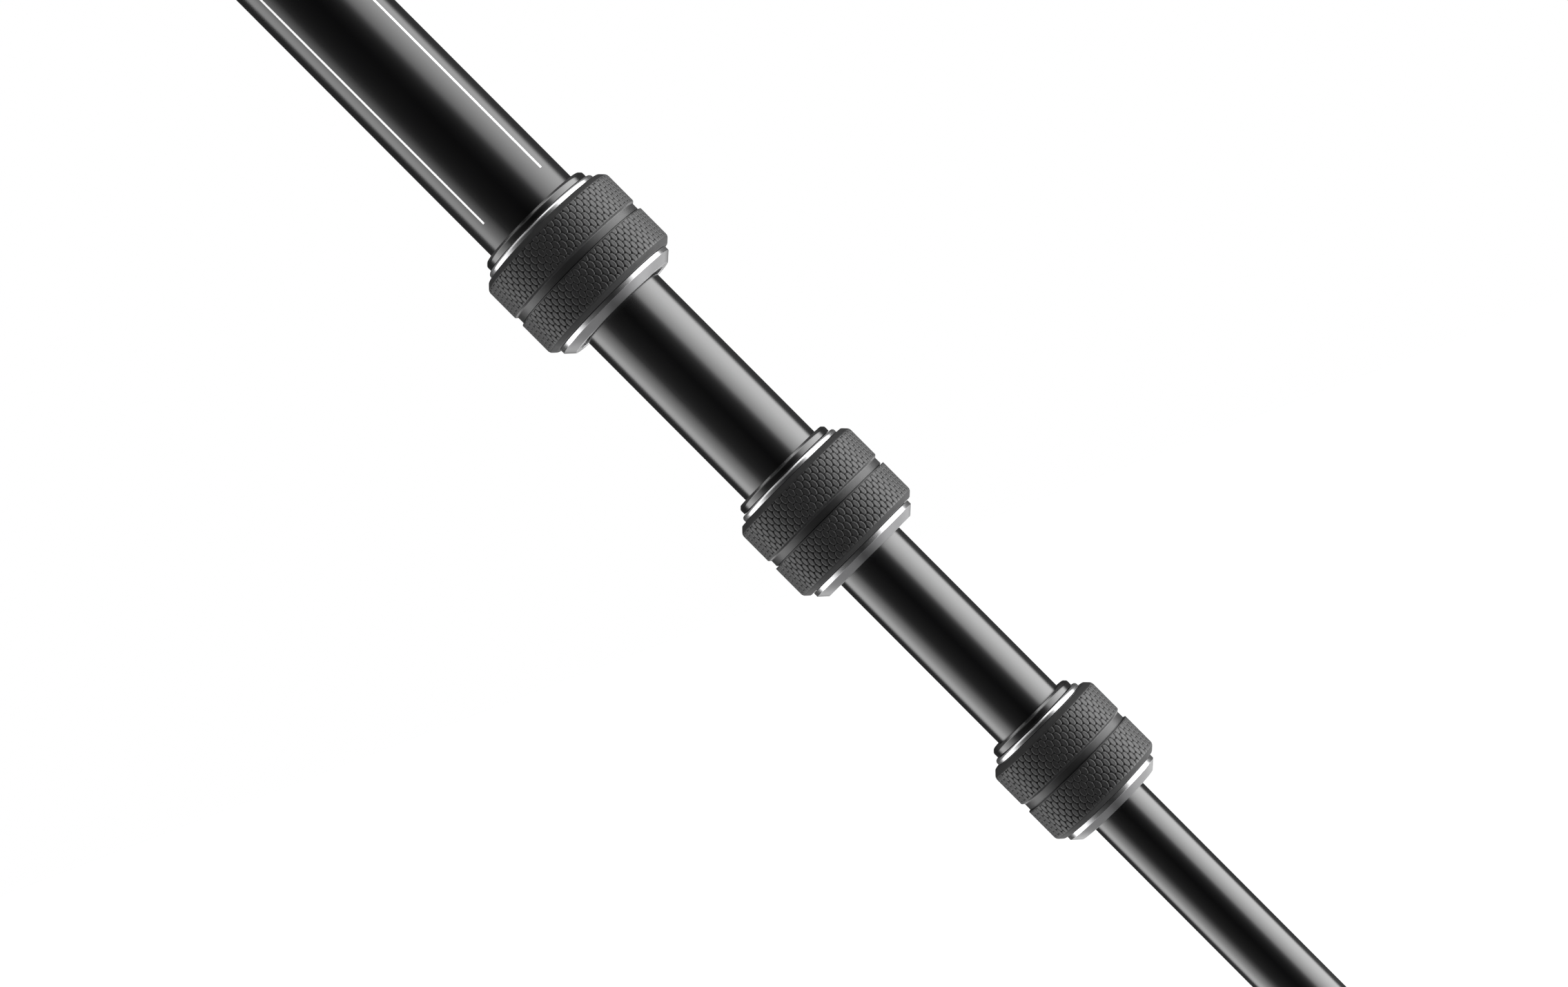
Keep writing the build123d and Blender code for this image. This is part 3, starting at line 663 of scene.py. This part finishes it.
class TRIPOD_OT_stripes(bpy.types.Operator):
    """Lay the two white stripes along the top tube of each leg"""

    bl_idname = "tripod.stripes"
    bl_label = "Tube stripes"

    def execute(self, context):
        sizes = context.scene.tripod_sizes
        radius = TUBE_RADII[1]
        half = math.degrees(sizes.stripe_width / MM / 2 / radius)
        low, high = radius - 0.05, radius + sizes.stripe_proud / MM
        start, end = STRIPE_SPAN
        outline = np.array([(high, start), (high, end), (low, end), (low, start)])
        bands = [
            turned_mesh("Stripe", outline, [0] * 4, [stripe_etching()], span=(angle - half, angle + half), steps=4)
            for angle in STRIPE_ANGLES
        ]
        for band in bands:
            band.polygons.foreach_set("use_smooth", [False] * len(band.polygons))
        mesh = joined_mesh("Stripes", bands)
        for leg in LEGS:
            place(f"leg_{leg}_stripes", mesh, leg_frame(leg), f"leg_{leg}_upper", "black_anodised")
        return {"FINISHED"}


# ---------------------------------------------------------------- twist locks

def collar_mesh(name, radius):
    """The turned collar: a bright ring at each end, a core under the rubber, a grey cone and a coned seat."""
    inner = radius - TUBE_STEP
    thread = radius + 1.4
    points, finishes = rounded([
        (thread, 1.9, 0.1),
        (radius + 2.65, 1.9, 0.1),
        (radius + RING_PROUD, 2.25, 0.25),
        (radius + RING_PROUD, 3.0, 0.1),
        (radius + CORE_PROUD, 3.0, 0.05),
        (radius + CORE_PROUD, 22.2, 0.05),
        (radius + MOUTH_PROUD, 22.2, 0.15),
        (radius + MOUTH_PROUD, 23.2, 0.06, SATIN),
        (radius + 1.65, 24.8, 0.1),
        (inner + 1.6, 24.8, 0.1),
        (inner + 1.6, 21.9, 0.1),
        (inner + 1.95, 21.9, 0.1),
        (thread, 16.3, 0.1),
    ])
    return turned_mesh(name, points, finishes, [bright_ring(), satin_cone()])


def scale_columns(outside, sizes):
    """How many columns of scales go round a grip: an even number, because they are staggered."""
    return 2 * round(math.pi * outside * MM / sizes.scale_width)


def scale_relief(outside, columns, sizes):
    """Gives the function that raises staggered scales in the two bands of a grip."""
    pitch, across = sizes.scale_length / MM, 2 * math.pi * outside / columns
    height, dish = sizes.scale_height / MM, sizes.scale_dish / MM
    half_length, half_width = SCALE_HALF

    def relief(radii, distances, angles):
        column = angles * columns / (2 * math.pi)
        near = np.full(radii.shape, 9.0)
        for step in (0, 1):
            nearest = np.floor(column) + step
            along = (distances - SCALE_PHASE) / pitch - np.mod(nearest, 2) / 2
            along = np.abs(along - np.round(along)) * pitch / half_length
            beside = np.abs(column - nearest) * across / half_width
            near = np.minimum(near, along ** SCALE_SQUARE + beside ** SCALE_SQUARE)
        inward = (1 - near ** (1 / SCALE_SQUARE)) * 0.62
        rise = np.clip((inward + 0.03) / 0.17, 0, 1)
        top = height * np.sqrt(rise * (2 - rise)) - dish * np.clip(1 - near / 0.35, 0, 1)
        edge = np.zeros(radii.shape)
        for start, end in SCALE_BANDS:
            edge += np.clip(np.minimum(distances - start, end - distances) / 0.2, 0, 1)
        return radii - np.where(radii > outside - 1.3, edge * (height - top), 0)

    return relief


def grip_mesh(name, radius, sizes):
    """The rubber sleeve on a collar: two bands of scales, with plain rims and a smooth groove between them."""
    outside = radius + GRIP_PROUD
    outline, looks = rounded([
        (radius + 2.65, 3.05, 0.05),
        (radius + 4.1, 3.05, 0.25),
        (outside, 4.3, 0.5),
        (outside, 11.5, 0.15, GROOVED),
        (radius + 4.8, 11.9, 0.12, GROOVED),
        (radius + 4.8, 13.42, 0.06, GROOVED),
        (radius + 4.55, 13.44, 0.02, GROOVED),
        (radius + 4.55, 13.58, 0.02, GROOVED),
        (outside, 13.6, 0.12),
        (outside, 21.05, 0.5),
        (radius + 4.1, 22.15, 0.25),
        (radius + 2.65, 22.15, 0.05),
    ])
    columns = scale_columns(outside, sizes)
    step_along = sizes.scale_length / MM / SCALE_ALONG
    # Along the outside, the points in the bands give way to evenly spaced ones
    outer = [n for n in range(len(outline)) if outline[n][0] > radius + 4.0 and 3.06 < outline[n][1] < 22.14]
    first, last = outer[0], outer[-1]
    run = outline[first:last + 1]
    places = {round(w, 5) for w in run[:, 1] if not any(a - 0.05 < w < b + 0.05 for a, b in SCALE_BANDS)}
    for start, end in SCALE_BANDS:
        count = round((end - start) / step_along)
        places |= {round(start + n * (end - start) / count, 5) for n in range(count + 1)}
    places = np.array(sorted(places))
    fresh = np.stack((np.interp(places, run[:, 1], run[:, 0]), places), axis=1)
    fresh_looks = [
        SCALED if any(a <= w < b - 1e-4 for a, b in SCALE_BANDS) else GROOVED if 11.6 < w < 13.7 else PLAIN
        for w in places
    ]
    points = np.concatenate((outline[:first], fresh, outline[last + 1:]))
    finishes = looks[:first] + fresh_looks + looks[last + 1:]
    return turned_mesh(
        name, points, finishes, [grip_rubber(), scale_rubber(outside, columns, sizes), groove_rubber()],
        steps=columns * SCALE_AROUND, relief=scale_relief(outside, columns, sizes),
    )


class TRIPOD_OT_twist_locks(bpy.types.Operator):
    """Make the collar and the scaled rubber grip of each twist lock, on the legs and on the column"""

    bl_idname = "tripod.twist_locks"
    bl_label = "Twist locks"

    def execute(self, context):
        sizes = context.scene.tripod_sizes
        for lock, top in LOCK_AT.items():
            radius = TUBE_RADII[lock]
            collar = collar_mesh(f"Collar {lock}", radius)
            grip = grip_mesh(f"Grip {lock}", radius, sizes)
            for leg in LEGS:
                body, node = f"leg_{leg}_lock_{lock}", f"leg_{leg}_lock_{lock}"
                at = leg_frame(leg) @ down_by(top)
                place(f"{node}_collar_turned", collar, at, body, "bare_aluminium", f"{node}_collar")
                place(f"{node}_grip_scaled", grip, at, body, "grip_rubber", f"{node}_grip")
        at = column_frame() @ down_by(HUB_TOP)
        radius = COLUMN_RADIUS + TUBE_STEP
        place("column_lock_collar_turned", collar_mesh("Column collar", radius), at, "column_lock",
              "bare_aluminium", "column_lock_collar")
        place("column_lock_grip_scaled", grip_mesh("Column grip", radius, sizes), at, "column_lock",
              "grip_rubber", "column_lock_grip")
        return {"FINISHED"}


# ---------------------------------------------------------------- bushes

def sleeve_mesh(radius):
    """The glued sleeve: a flange that shows over the collar, and the thread that the collar turns on."""
    crest, root = radius + 1.25, radius + 0.85
    inner = radius - TUBE_STEP
    thread = [(root if n % 2 else crest, 3.0 + n * 0.75, 0.08, 1) for n in range(15)]
    points, finishes = rounded([
        (radius + 0.05, 0, 0.08),
        (radius + 1.5, 0, 0.15),
        (radius + 2.1, 0.6, 0.2),
        (radius + 2.1, 1.75, 0.12),
        (crest, 1.75, 0.08, 1),
        *thread,
        (crest, 14.5, 0.08, 1),
        (inner + 0.12, 14.5, 0.1, 1),
        (inner + 0.12, 13.05, 0.1, 1),
        (radius + 0.05, 13.05, 0.05, 1),
    ])
    return turned_mesh("Sleeve", points, finishes, [lock_flange(), bush_plastic()])


def jaw_meshes(radius):
    """The four jaws of the split bush that the collar squeezes."""
    inner = radius - TUBE_STEP
    points, finishes = rounded([
        (inner + 0.06, 14.7, 0.1, 1),
        (radius + 1.15, 14.7, 0.1, 1),
        (radius + 1.15, 16.0, 0.1, 1),
        (radius + 0.25, 21.4, 0.1, 1),
        (inner + 1.2, 21.4, 0.1, 1),
        (inner + 1.2, 23.3, 0.15, 1),
        (inner + 0.06, 23.3, 0.15, 1),
    ])
    slit = math.degrees(0.5 / radius)
    looks = [lock_flange(), bush_plastic()]
    return [
        turned_mesh("Jaw", points, finishes, looks, span=(90 * n + slit, 90 * n + 90 - slit), steps=32)
        for n in range(4)
    ]


def shim_meshes(section):
    """The two half shells that guide the top of a lower tube, with the key that runs in the keyway."""
    radius = TUBE_RADII[section]
    bore = radius + TUBE_STEP - TUBE_WALL
    start = TUBE_SPAN[section][0] + SHIM_DOWN
    end = start + SHIM_LENGTH
    points, finishes = rounded([
        (radius + 0.025, start, 0.05, 1),
        (bore - 0.06, start, 0.1, 1),
        (bore - 0.06, end, 0.1, 1),
        (radius + 0.025, end, 0.05, 1),
    ])

    def raise_key(radii, distances, angles):
        off = np.abs(np.angle(np.exp(1j * (angles + math.pi / 2))))
        return radii + KEY_HEIGHT * ((off * radius < KEY_HALF) & (radii > radius + 0.1))

    gap = math.degrees(0.4 / radius)
    looks = [lock_flange(), bush_plastic()]
    return [
        turned_mesh(
            "Shim", points, finishes, looks,
            span=(from_angle + gap, from_angle + 180 - gap), steps=AROUND // 2, relief=raise_key,
        )
        for from_angle in (0, 180)
    ]


class TRIPOD_OT_bushes(bpy.types.Operator):
    """Make the threaded sleeves, split bushes and guide shims that ride with each section"""

    bl_idname = "tripod.bushes"
    bl_label = "Bushes and shims"

    def execute(self, context):
        for section, radius in TUBE_RADII.items():
            meshes = []
            if section in LOCK_AT:
                meshes += [sleeve_mesh(radius), *jaw_meshes(radius)]
                for mesh in meshes:
                    mesh.transform(down_by(LOCK_AT[section]))
            if section > 1:
                meshes += shim_meshes(section)
            mesh = joined_mesh(f"Bushes {section}", meshes)
            for leg in LEGS:
                body = f"leg_{leg}_upper" if section == 1 else f"leg_{leg}_section_{section}"
                node = f"leg_{leg}_bushes_{section}"
                place(f"{node}_moulded", mesh, leg_frame(leg), body, "bush_plastic", node)
        return {"FINISHED"}


# ---------------------------------------------------------------- feet

class TRIPOD_OT_feet(bpy.types.Operator):
    """Make the rubber foot of each leg, with its ball end and tread grooves"""

    bl_idname = "tripod.feet"
    bl_label = "Feet"

    def execute(self, context):
        walls = [(6.55, 0, 0.2), (7.9, 0, 0.25), (8.5, 0.6, 0.3), (8.5, 7.0, 0.8), (BALL_RADIUS, 10.6, 0.8)]
        for start in TREAD_AT:
            walls += [
                (BALL_RADIUS, start, 0.1), (9.0, start + 0.275, 0.1), (9.0, start + 0.825, 0.1),
                (BALL_RADIUS, start + 1.1, 0.1),
            ]
        ball = list(arc_corners(BALL_AT, BALL_RADIUS, 0, 90, 20))
        points, finishes = rounded([*walls, *ball, (0, 16.05, 0), (6.55, 16.05, 0.1)])
        points[np.abs(points[:, 0]) < 1e-6, 0] = 0.0
        mesh = turned_mesh("Foot", points, finishes, [foot_rubber()])
        for leg in LEGS:
            node = f"leg_{leg}_foot"
            at = leg_frame(leg) @ down_by(FOOT_AT)
            place(f"{node}_moulded", mesh, at, f"leg_{leg}_section_4", "foot_rubber", node)
        return {"FINISHED"}


# ---------------------------------------------------------------- castings, latches and bolts

def dress(node, material, bevel=None):
    """Gives a CAD node its material, and eases its edges if a width is given."""
    piece = frame["nodes"][node]
    for slot in piece.material_slots:
        slot.material = material
    if bevel:
        piece.modifiers.new("Weld", "WELD").merge_threshold = 1e-6
        flat = piece.modifiers.new("Flat faces", "DECIMATE")
        flat.decimate_type = "DISSOLVE"
        flat.angle_limit = math.radians(0.3)
        ease = piece.modifiers.new("Eased edges", "BEVEL")
        ease.width = bevel
        ease.segments = 2
        ease.limit_method = "ANGLE"
        ease.angle_limit = math.radians(28)
        ease.use_clamp_overlap = True
        normals = piece.modifiers.new("Even normals", "WEIGHTED_NORMAL")
        normals.keep_sharp = True
    return piece


class TRIPOD_OT_castings(bpy.types.Operator):
    """Finish the shoulder, the knuckles, the angle latches and the pivot bolts"""

    bl_idname = "tripod.castings"
    bl_label = "Castings, latches and bolts"

    def execute(self, context):
        sizes = context.scene.tripod_sizes
        dress("shoulder", black_casting(), sizes.edge_round)
        dress("pivot_bolts", bolt_steel())
        dress("column_bushes", bush_plastic())
        for leg in LEGS:
            dress(f"leg_{leg}_knuckle", black_casting(), sizes.edge_round)
            dress(f"leg_{leg}_angle_latch", latch_paint(), sizes.edge_round / 3)
        return {"FINISHED"}


# ---------------------------------------------------------------- centre column

class TRIPOD_OT_column(bpy.types.Operator):
    """Make the centre column with its plug, the head plate and the threaded stud"""

    bl_idname = "tripod.column"
    bl_label = "Centre column"

    def execute(self, context):
        sizes = context.scene.tripod_sizes
        at = column_frame()
        tube = tube_mesh("Column", COLUMN_RADIUS, COLUMN_WALL, COLUMN_SPAN, black_tube(), 90, keyway_inside=False)
        place("column_tube_drawn", tube, at, "column", "black_anodised", "column_tube")

        points, finishes = rounded([
            (0, -230.05, 0), (11.0, -230.05, 0.6), (12.6, -228.45, 0.8), (12.6, -225.65, 0.3), (12.0, -225.05, 0.2),
            (9.45, -225.05, 0.1), (9.45, -213.05, 0.3), (0, -213.05, 0),
        ], closed=False)
        cap = turned_mesh("Column plug", points, finishes, [foot_rubber()], closed=False)
        place("column_cap_moulded", cap, at, "column", "foot_rubber", "column_cap")

        points, finishes = rounded([
            (6.05, 40.05, 0.05), (6.05, 45.05, 0.1), (8.0, 45.05, 0.2), (8.0, PLATE_FACE, 0.15),
            (19.4, PLATE_FACE, 0.2), (20.0, 45.45, 0.2), (20.0, 42.65, 0.3), (16.0, 40.05, 0.3),
            (9.45, 40.05, 0.1), (9.45, 22.05, 0.2), (7.6, 22.05, 0.2), (7.6, 40.05, 0.1),
        ])
        plate = turned_mesh("Head plate", points, finishes, [plate_black()])
        place("head_plate_turned", plate, at, "column", "cast_black", "head_plate")

        tip = PLATE_FACE + STUD_PROUD
        start = PLATE_FACE - 0.6
        pitch, depth = sizes.thread_pitch / MM, sizes.thread_depth / MM
        shank, looks = rounded([
            (0, 37.05, 0), (7.2, 37.05, 0.15), (7.2, 40.0, 0.15), (6.0, 40.0, 0.1), (6.0, 45.05, 0.1),
            (STUD_RADIUS, 45.05, 0.1), (STUD_RADIUS, start, 0),
        ], closed=False)
        thread = [(STUD_RADIUS - max(0, w - tip + 0.8), w) for w in np.linspace(start, tip, 110)[1:]]
        points = np.concatenate((shank, thread, [(0, tip)]))
        finishes = looks + [0] * (len(points) - len(looks))

        def cut_thread(radii, distances, angles):
            phase = np.abs(np.mod(distances / pitch - angles / (2 * math.pi), 1) - 0.5) * 2
            groove = np.clip((phase - 0.12) / 0.7, 0, 1)
            ease = np.clip((distances - start - 0.1) / 0.8, 0, 1)
            return np.where(distances > start, np.minimum(radii, STUD_RADIUS - depth * groove * ease), radii)

        stud = turned_mesh("Head stud", points, finishes, [stud_steel()], closed=False, relief=cut_thread)
        place("head_stud_threaded", stud, at, "column", "bolt_steel", "head_stud")
        return {"FINISHED"}


# ---------------------------------------------------------------- studio

# Radiance of the studio round leg A's axis, as a share of the light level: degrees from the camera's side,
# positive towards the outside of the leg
LIGHT_ROUND = [
    (-180, 0.012), (-128, 0.015), (-116, 0.6), (-104, 0.66), (-89, 0.45), (-74, 0.27), (-62, 0.1), (-50, 0.03),
    (-30, 0.015), (0, 0.003), (20, 0.012), (34, 0.035), (42, 0.13), (48, 0.42), (60, 0.62), (74, 0.82),
    (90, 0.97), (112, 0.95), (124, 0.03), (180, 0.012),
]
# How much brighter the long lights are towards the foot end, the levels of the low light and of the fill, and
# the most that comes from straight below, where the white floor lies
LIGHT_LEAN = 0.45
LOW_LIGHT = 0.4
FILL_LIGHT = 0.05
FLOOR_LIGHT = 0.26
# The white floor: half its width and its height in metres, how bright the camera finds it, and the light
# that falls on it
FLOOR_HALF = 40.0
FLOOR_LEVEL = -0.0001
FLOOR_WHITE = 1.03
FLOOR_LIT = 0.85
# How far the picture is turned about the line of sight, in degrees
IMAGE_TURN = 20.92
# The point that the camera is square on to: outwards from leg A's axis, and down it
SQUARE_ON = (-3.24, 379.1)
IMAGE_WIDTH = 2272
SHIFT = 85 / IMAGE_WIDTH


def studio_world(level):
    """A studio with a long soft light on each side of leg A, a low one behind its foot end and a dark camera
    side. The camera sees it white."""
    world = bpy.data.worlds.new("Studio")
    world.use_nodes = True
    tree = world.node_tree
    tree.nodes.clear()
    axes = leg_frame("a").to_3x3()
    looking = add_node(tree, "ShaderNodeTexCoord").outputs["Generated"]
    outward, to_camera, down = [
        add_node(tree, "ShaderNodeVectorMath", {0: looking, 1: axes.col[n]}, operation="DOT_PRODUCT").outputs["Value"]
        for n in (0, 1, 2)
    ]
    turn = maths(tree, "ARCTAN2", outward, to_camera)
    place_on = maths(tree, "MULTIPLY_ADD", turn, 1 / (2 * math.pi), 0.5)
    ramp = add_node(tree, "ShaderNodeValToRGB", {"Fac": place_on})
    stops = ramp.color_ramp.elements
    while len(stops) < len(LIGHT_ROUND):
        stops.new(0.5)
    for stop, (degrees, share) in zip(stops, LIGHT_ROUND):
        stop.position = (degrees + 180) / 360
        stop.color = (share, share, share, 1)
    lean = add_node(
        tree, "ShaderNodeMapRange",
        {"Value": down, "From Min": -1.0, "From Max": 1.0, "To Min": 1 - LIGHT_LEAN, "To Max": 1 + LIGHT_LEAN},
    )
    long_lights = maths(tree, "MULTIPLY", ramp.outputs["Color"], lean.outputs["Result"])
    low = add_node(tree, "ShaderNodeMapRange", {"Value": down, "From Min": 0.12, "From Max": 0.35})
    behind = add_node(tree, "ShaderNodeMapRange", {"Value": to_camera, "From Min": -0.1, "From Max": -0.45})
    low_light = maths(tree, "MULTIPLY", low.outputs["Result"], behind.outputs["Result"])
    off_square = maths(tree, "ABSOLUTE", down)
    fill = add_node(
        tree, "ShaderNodeMapRange",
        {"Value": off_square, "From Min": 0.3, "From Max": 0.6, "To Max": FILL_LIGHT},
    )
    light = maths(tree, "MULTIPLY_ADD", low_light, LOW_LIGHT, long_lights)
    light = maths(tree, "ADD", light, fill.outputs["Result"])
    height = add_node(tree, "ShaderNodeSeparateXYZ", {"Vector": looking}).outputs["Z"]
    most = add_node(
        tree, "ShaderNodeMapRange",
        {"Value": height, "From Min": -0.75, "From Max": -0.55, "To Min": FLOOR_LIGHT, "To Max": 2.0},
    )
    light = maths(tree, "MINIMUM", light, most.outputs["Result"])
    strength = maths(tree, "MULTIPLY", light, level)
    lit = add_node(tree, "ShaderNodeBackground", {"Color": (1, 1, 1, 1), "Strength": strength})
    seen = add_node(tree, "ShaderNodeBackground", {"Color": (1, 1, 1, 1), "Strength": 1.0})
    path = add_node(tree, "ShaderNodeLightPath")
    mix = add_node(
        tree, "ShaderNodeMixShader",
        {0: path.outputs["Is Camera Ray"], 1: lit.outputs[0], 2: seen.outputs[0]},
    )
    add_node(tree, "ShaderNodeOutputWorld", {"Surface": mix.outputs[0]})
    world.cycles.sampling_method = "MANUAL"
    world.cycles.sample_map_resolution = 1024
    return world


def floor_material(shade):
    """A white floor: most of its white is its own, and the rest is the light that falls on it."""
    material = bpy.data.materials.new("White floor")
    material.use_nodes = True
    tree = material.node_tree
    tree.nodes.clear()
    matt = add_node(tree, "ShaderNodeBsdfDiffuse", {"Color": (shade, shade, shade, 1)})
    own = FLOOR_WHITE - shade * FLOOR_LIT
    white = add_node(tree, "ShaderNodeEmission", {"Color": (own, own, own, 1), "Strength": 1.0})
    both = add_node(tree, "ShaderNodeAddShader", {0: matt.outputs[0], 1: white.outputs[0]})
    add_node(tree, "ShaderNodeOutputMaterial", {"Surface": both.outputs[0]})
    return material


class TRIPOD_OT_stage(bpy.types.Operator):
    """Set up the white floor, the soft studio light and the camera"""

    bl_idname = "tripod.stage"
    bl_label = "Studio"

    def execute(self, context):
        scene = context.scene
        stage = scene.tripod_stage
        scene.world = studio_world(stage.lamp_level)
        scene.view_settings.view_transform = "Standard"

        mesh = bpy.data.meshes.new("Floor")
        corners = [(x * FLOOR_HALF, y * FLOOR_HALF, FLOOR_LEVEL) for x, y in ((-1, -1), (1, -1), (1, 1), (-1, 1))]
        mesh.from_pydata(corners, [], [(0, 1, 2, 3)])
        mesh.materials.append(floor_material(stage.floor_shade))
        floor = bpy.data.objects.new("floor", mesh)
        scene.collection.objects.link(floor)
        floor.visible_diffuse = floor.visible_glossy = floor.visible_transmission = floor.visible_shadow = False

        camera = bpy.data.cameras.new("Camera")
        camera.lens = stage.lens
        camera.sensor_width = 36.0
        camera.shift_x, camera.shift_y = -SHIFT, SHIFT
        camera.clip_end = 200.0
        view = bpy.data.objects.new("Camera", camera)
        scene.collection.objects.link(view)
        turn = math.radians(IMAGE_TURN)
        right, up = Vector((math.cos(turn), 0, -math.sin(turn))), Vector((math.sin(turn), 0, math.cos(turn)))
        axes = Matrix((right, up, right.cross(up))).transposed().to_4x4()
        aim = leg_frame("a") @ (Vector((SQUARE_ON[0], 0, SQUARE_ON[1])) * MM)
        view.matrix_world = Matrix.Translation(aim - Vector((0, stage.camera_distance, 0))) @ axes
        scene.camera = view
        return {"FINISHED"}


# ---------------------------------------------------------------- add-on

class TRIPOD_PT_panel(bpy.types.Panel):
    """Lists the tripod's sizes, colours and steps"""

    bl_idname = "TRIPOD_PT_panel"
    bl_label = "Travel tripod"
    bl_space_type = "VIEW_3D"
    bl_region_type = "UI"
    bl_category = "Tripod"

    def draw(self, context):
        scene = context.scene
        for step in STEPS:
            self.layout.operator(step.bl_idname)
        for settings in (scene.tripod_sizes, scene.tripod_colours, scene.tripod_stage):
            box = self.layout.box()
            for name in settings.__annotations__:
                box.prop(settings, name)


STEPS = (
    TRIPOD_OT_leg_tubes, TRIPOD_OT_stripes, TRIPOD_OT_twist_locks, TRIPOD_OT_bushes, TRIPOD_OT_feet,
    TRIPOD_OT_castings, TRIPOD_OT_column, TRIPOD_OT_stage,
)
CLASSES = (TripodSizes, TripodColours, TripodStage, *STEPS, TRIPOD_PT_panel)


def register():
    for each in CLASSES:
        bpy.utils.register_class(each)
    bpy.types.Scene.tripod_sizes = PointerProperty(type=TripodSizes)
    bpy.types.Scene.tripod_colours = PointerProperty(type=TripodColours)
    bpy.types.Scene.tripod_stage = PointerProperty(type=TripodStage)


def unregister():
    del bpy.types.Scene.tripod_sizes, bpy.types.Scene.tripod_colours, bpy.types.Scene.tripod_stage
    for each in reversed(CLASSES):
        bpy.utils.unregister_class(each)


def main():
    register()
    for step in STEPS:
        group, name = step.bl_idname.split(".")
        getattr(getattr(bpy.ops, group), name)()


if __name__ == "__main__":
    main()
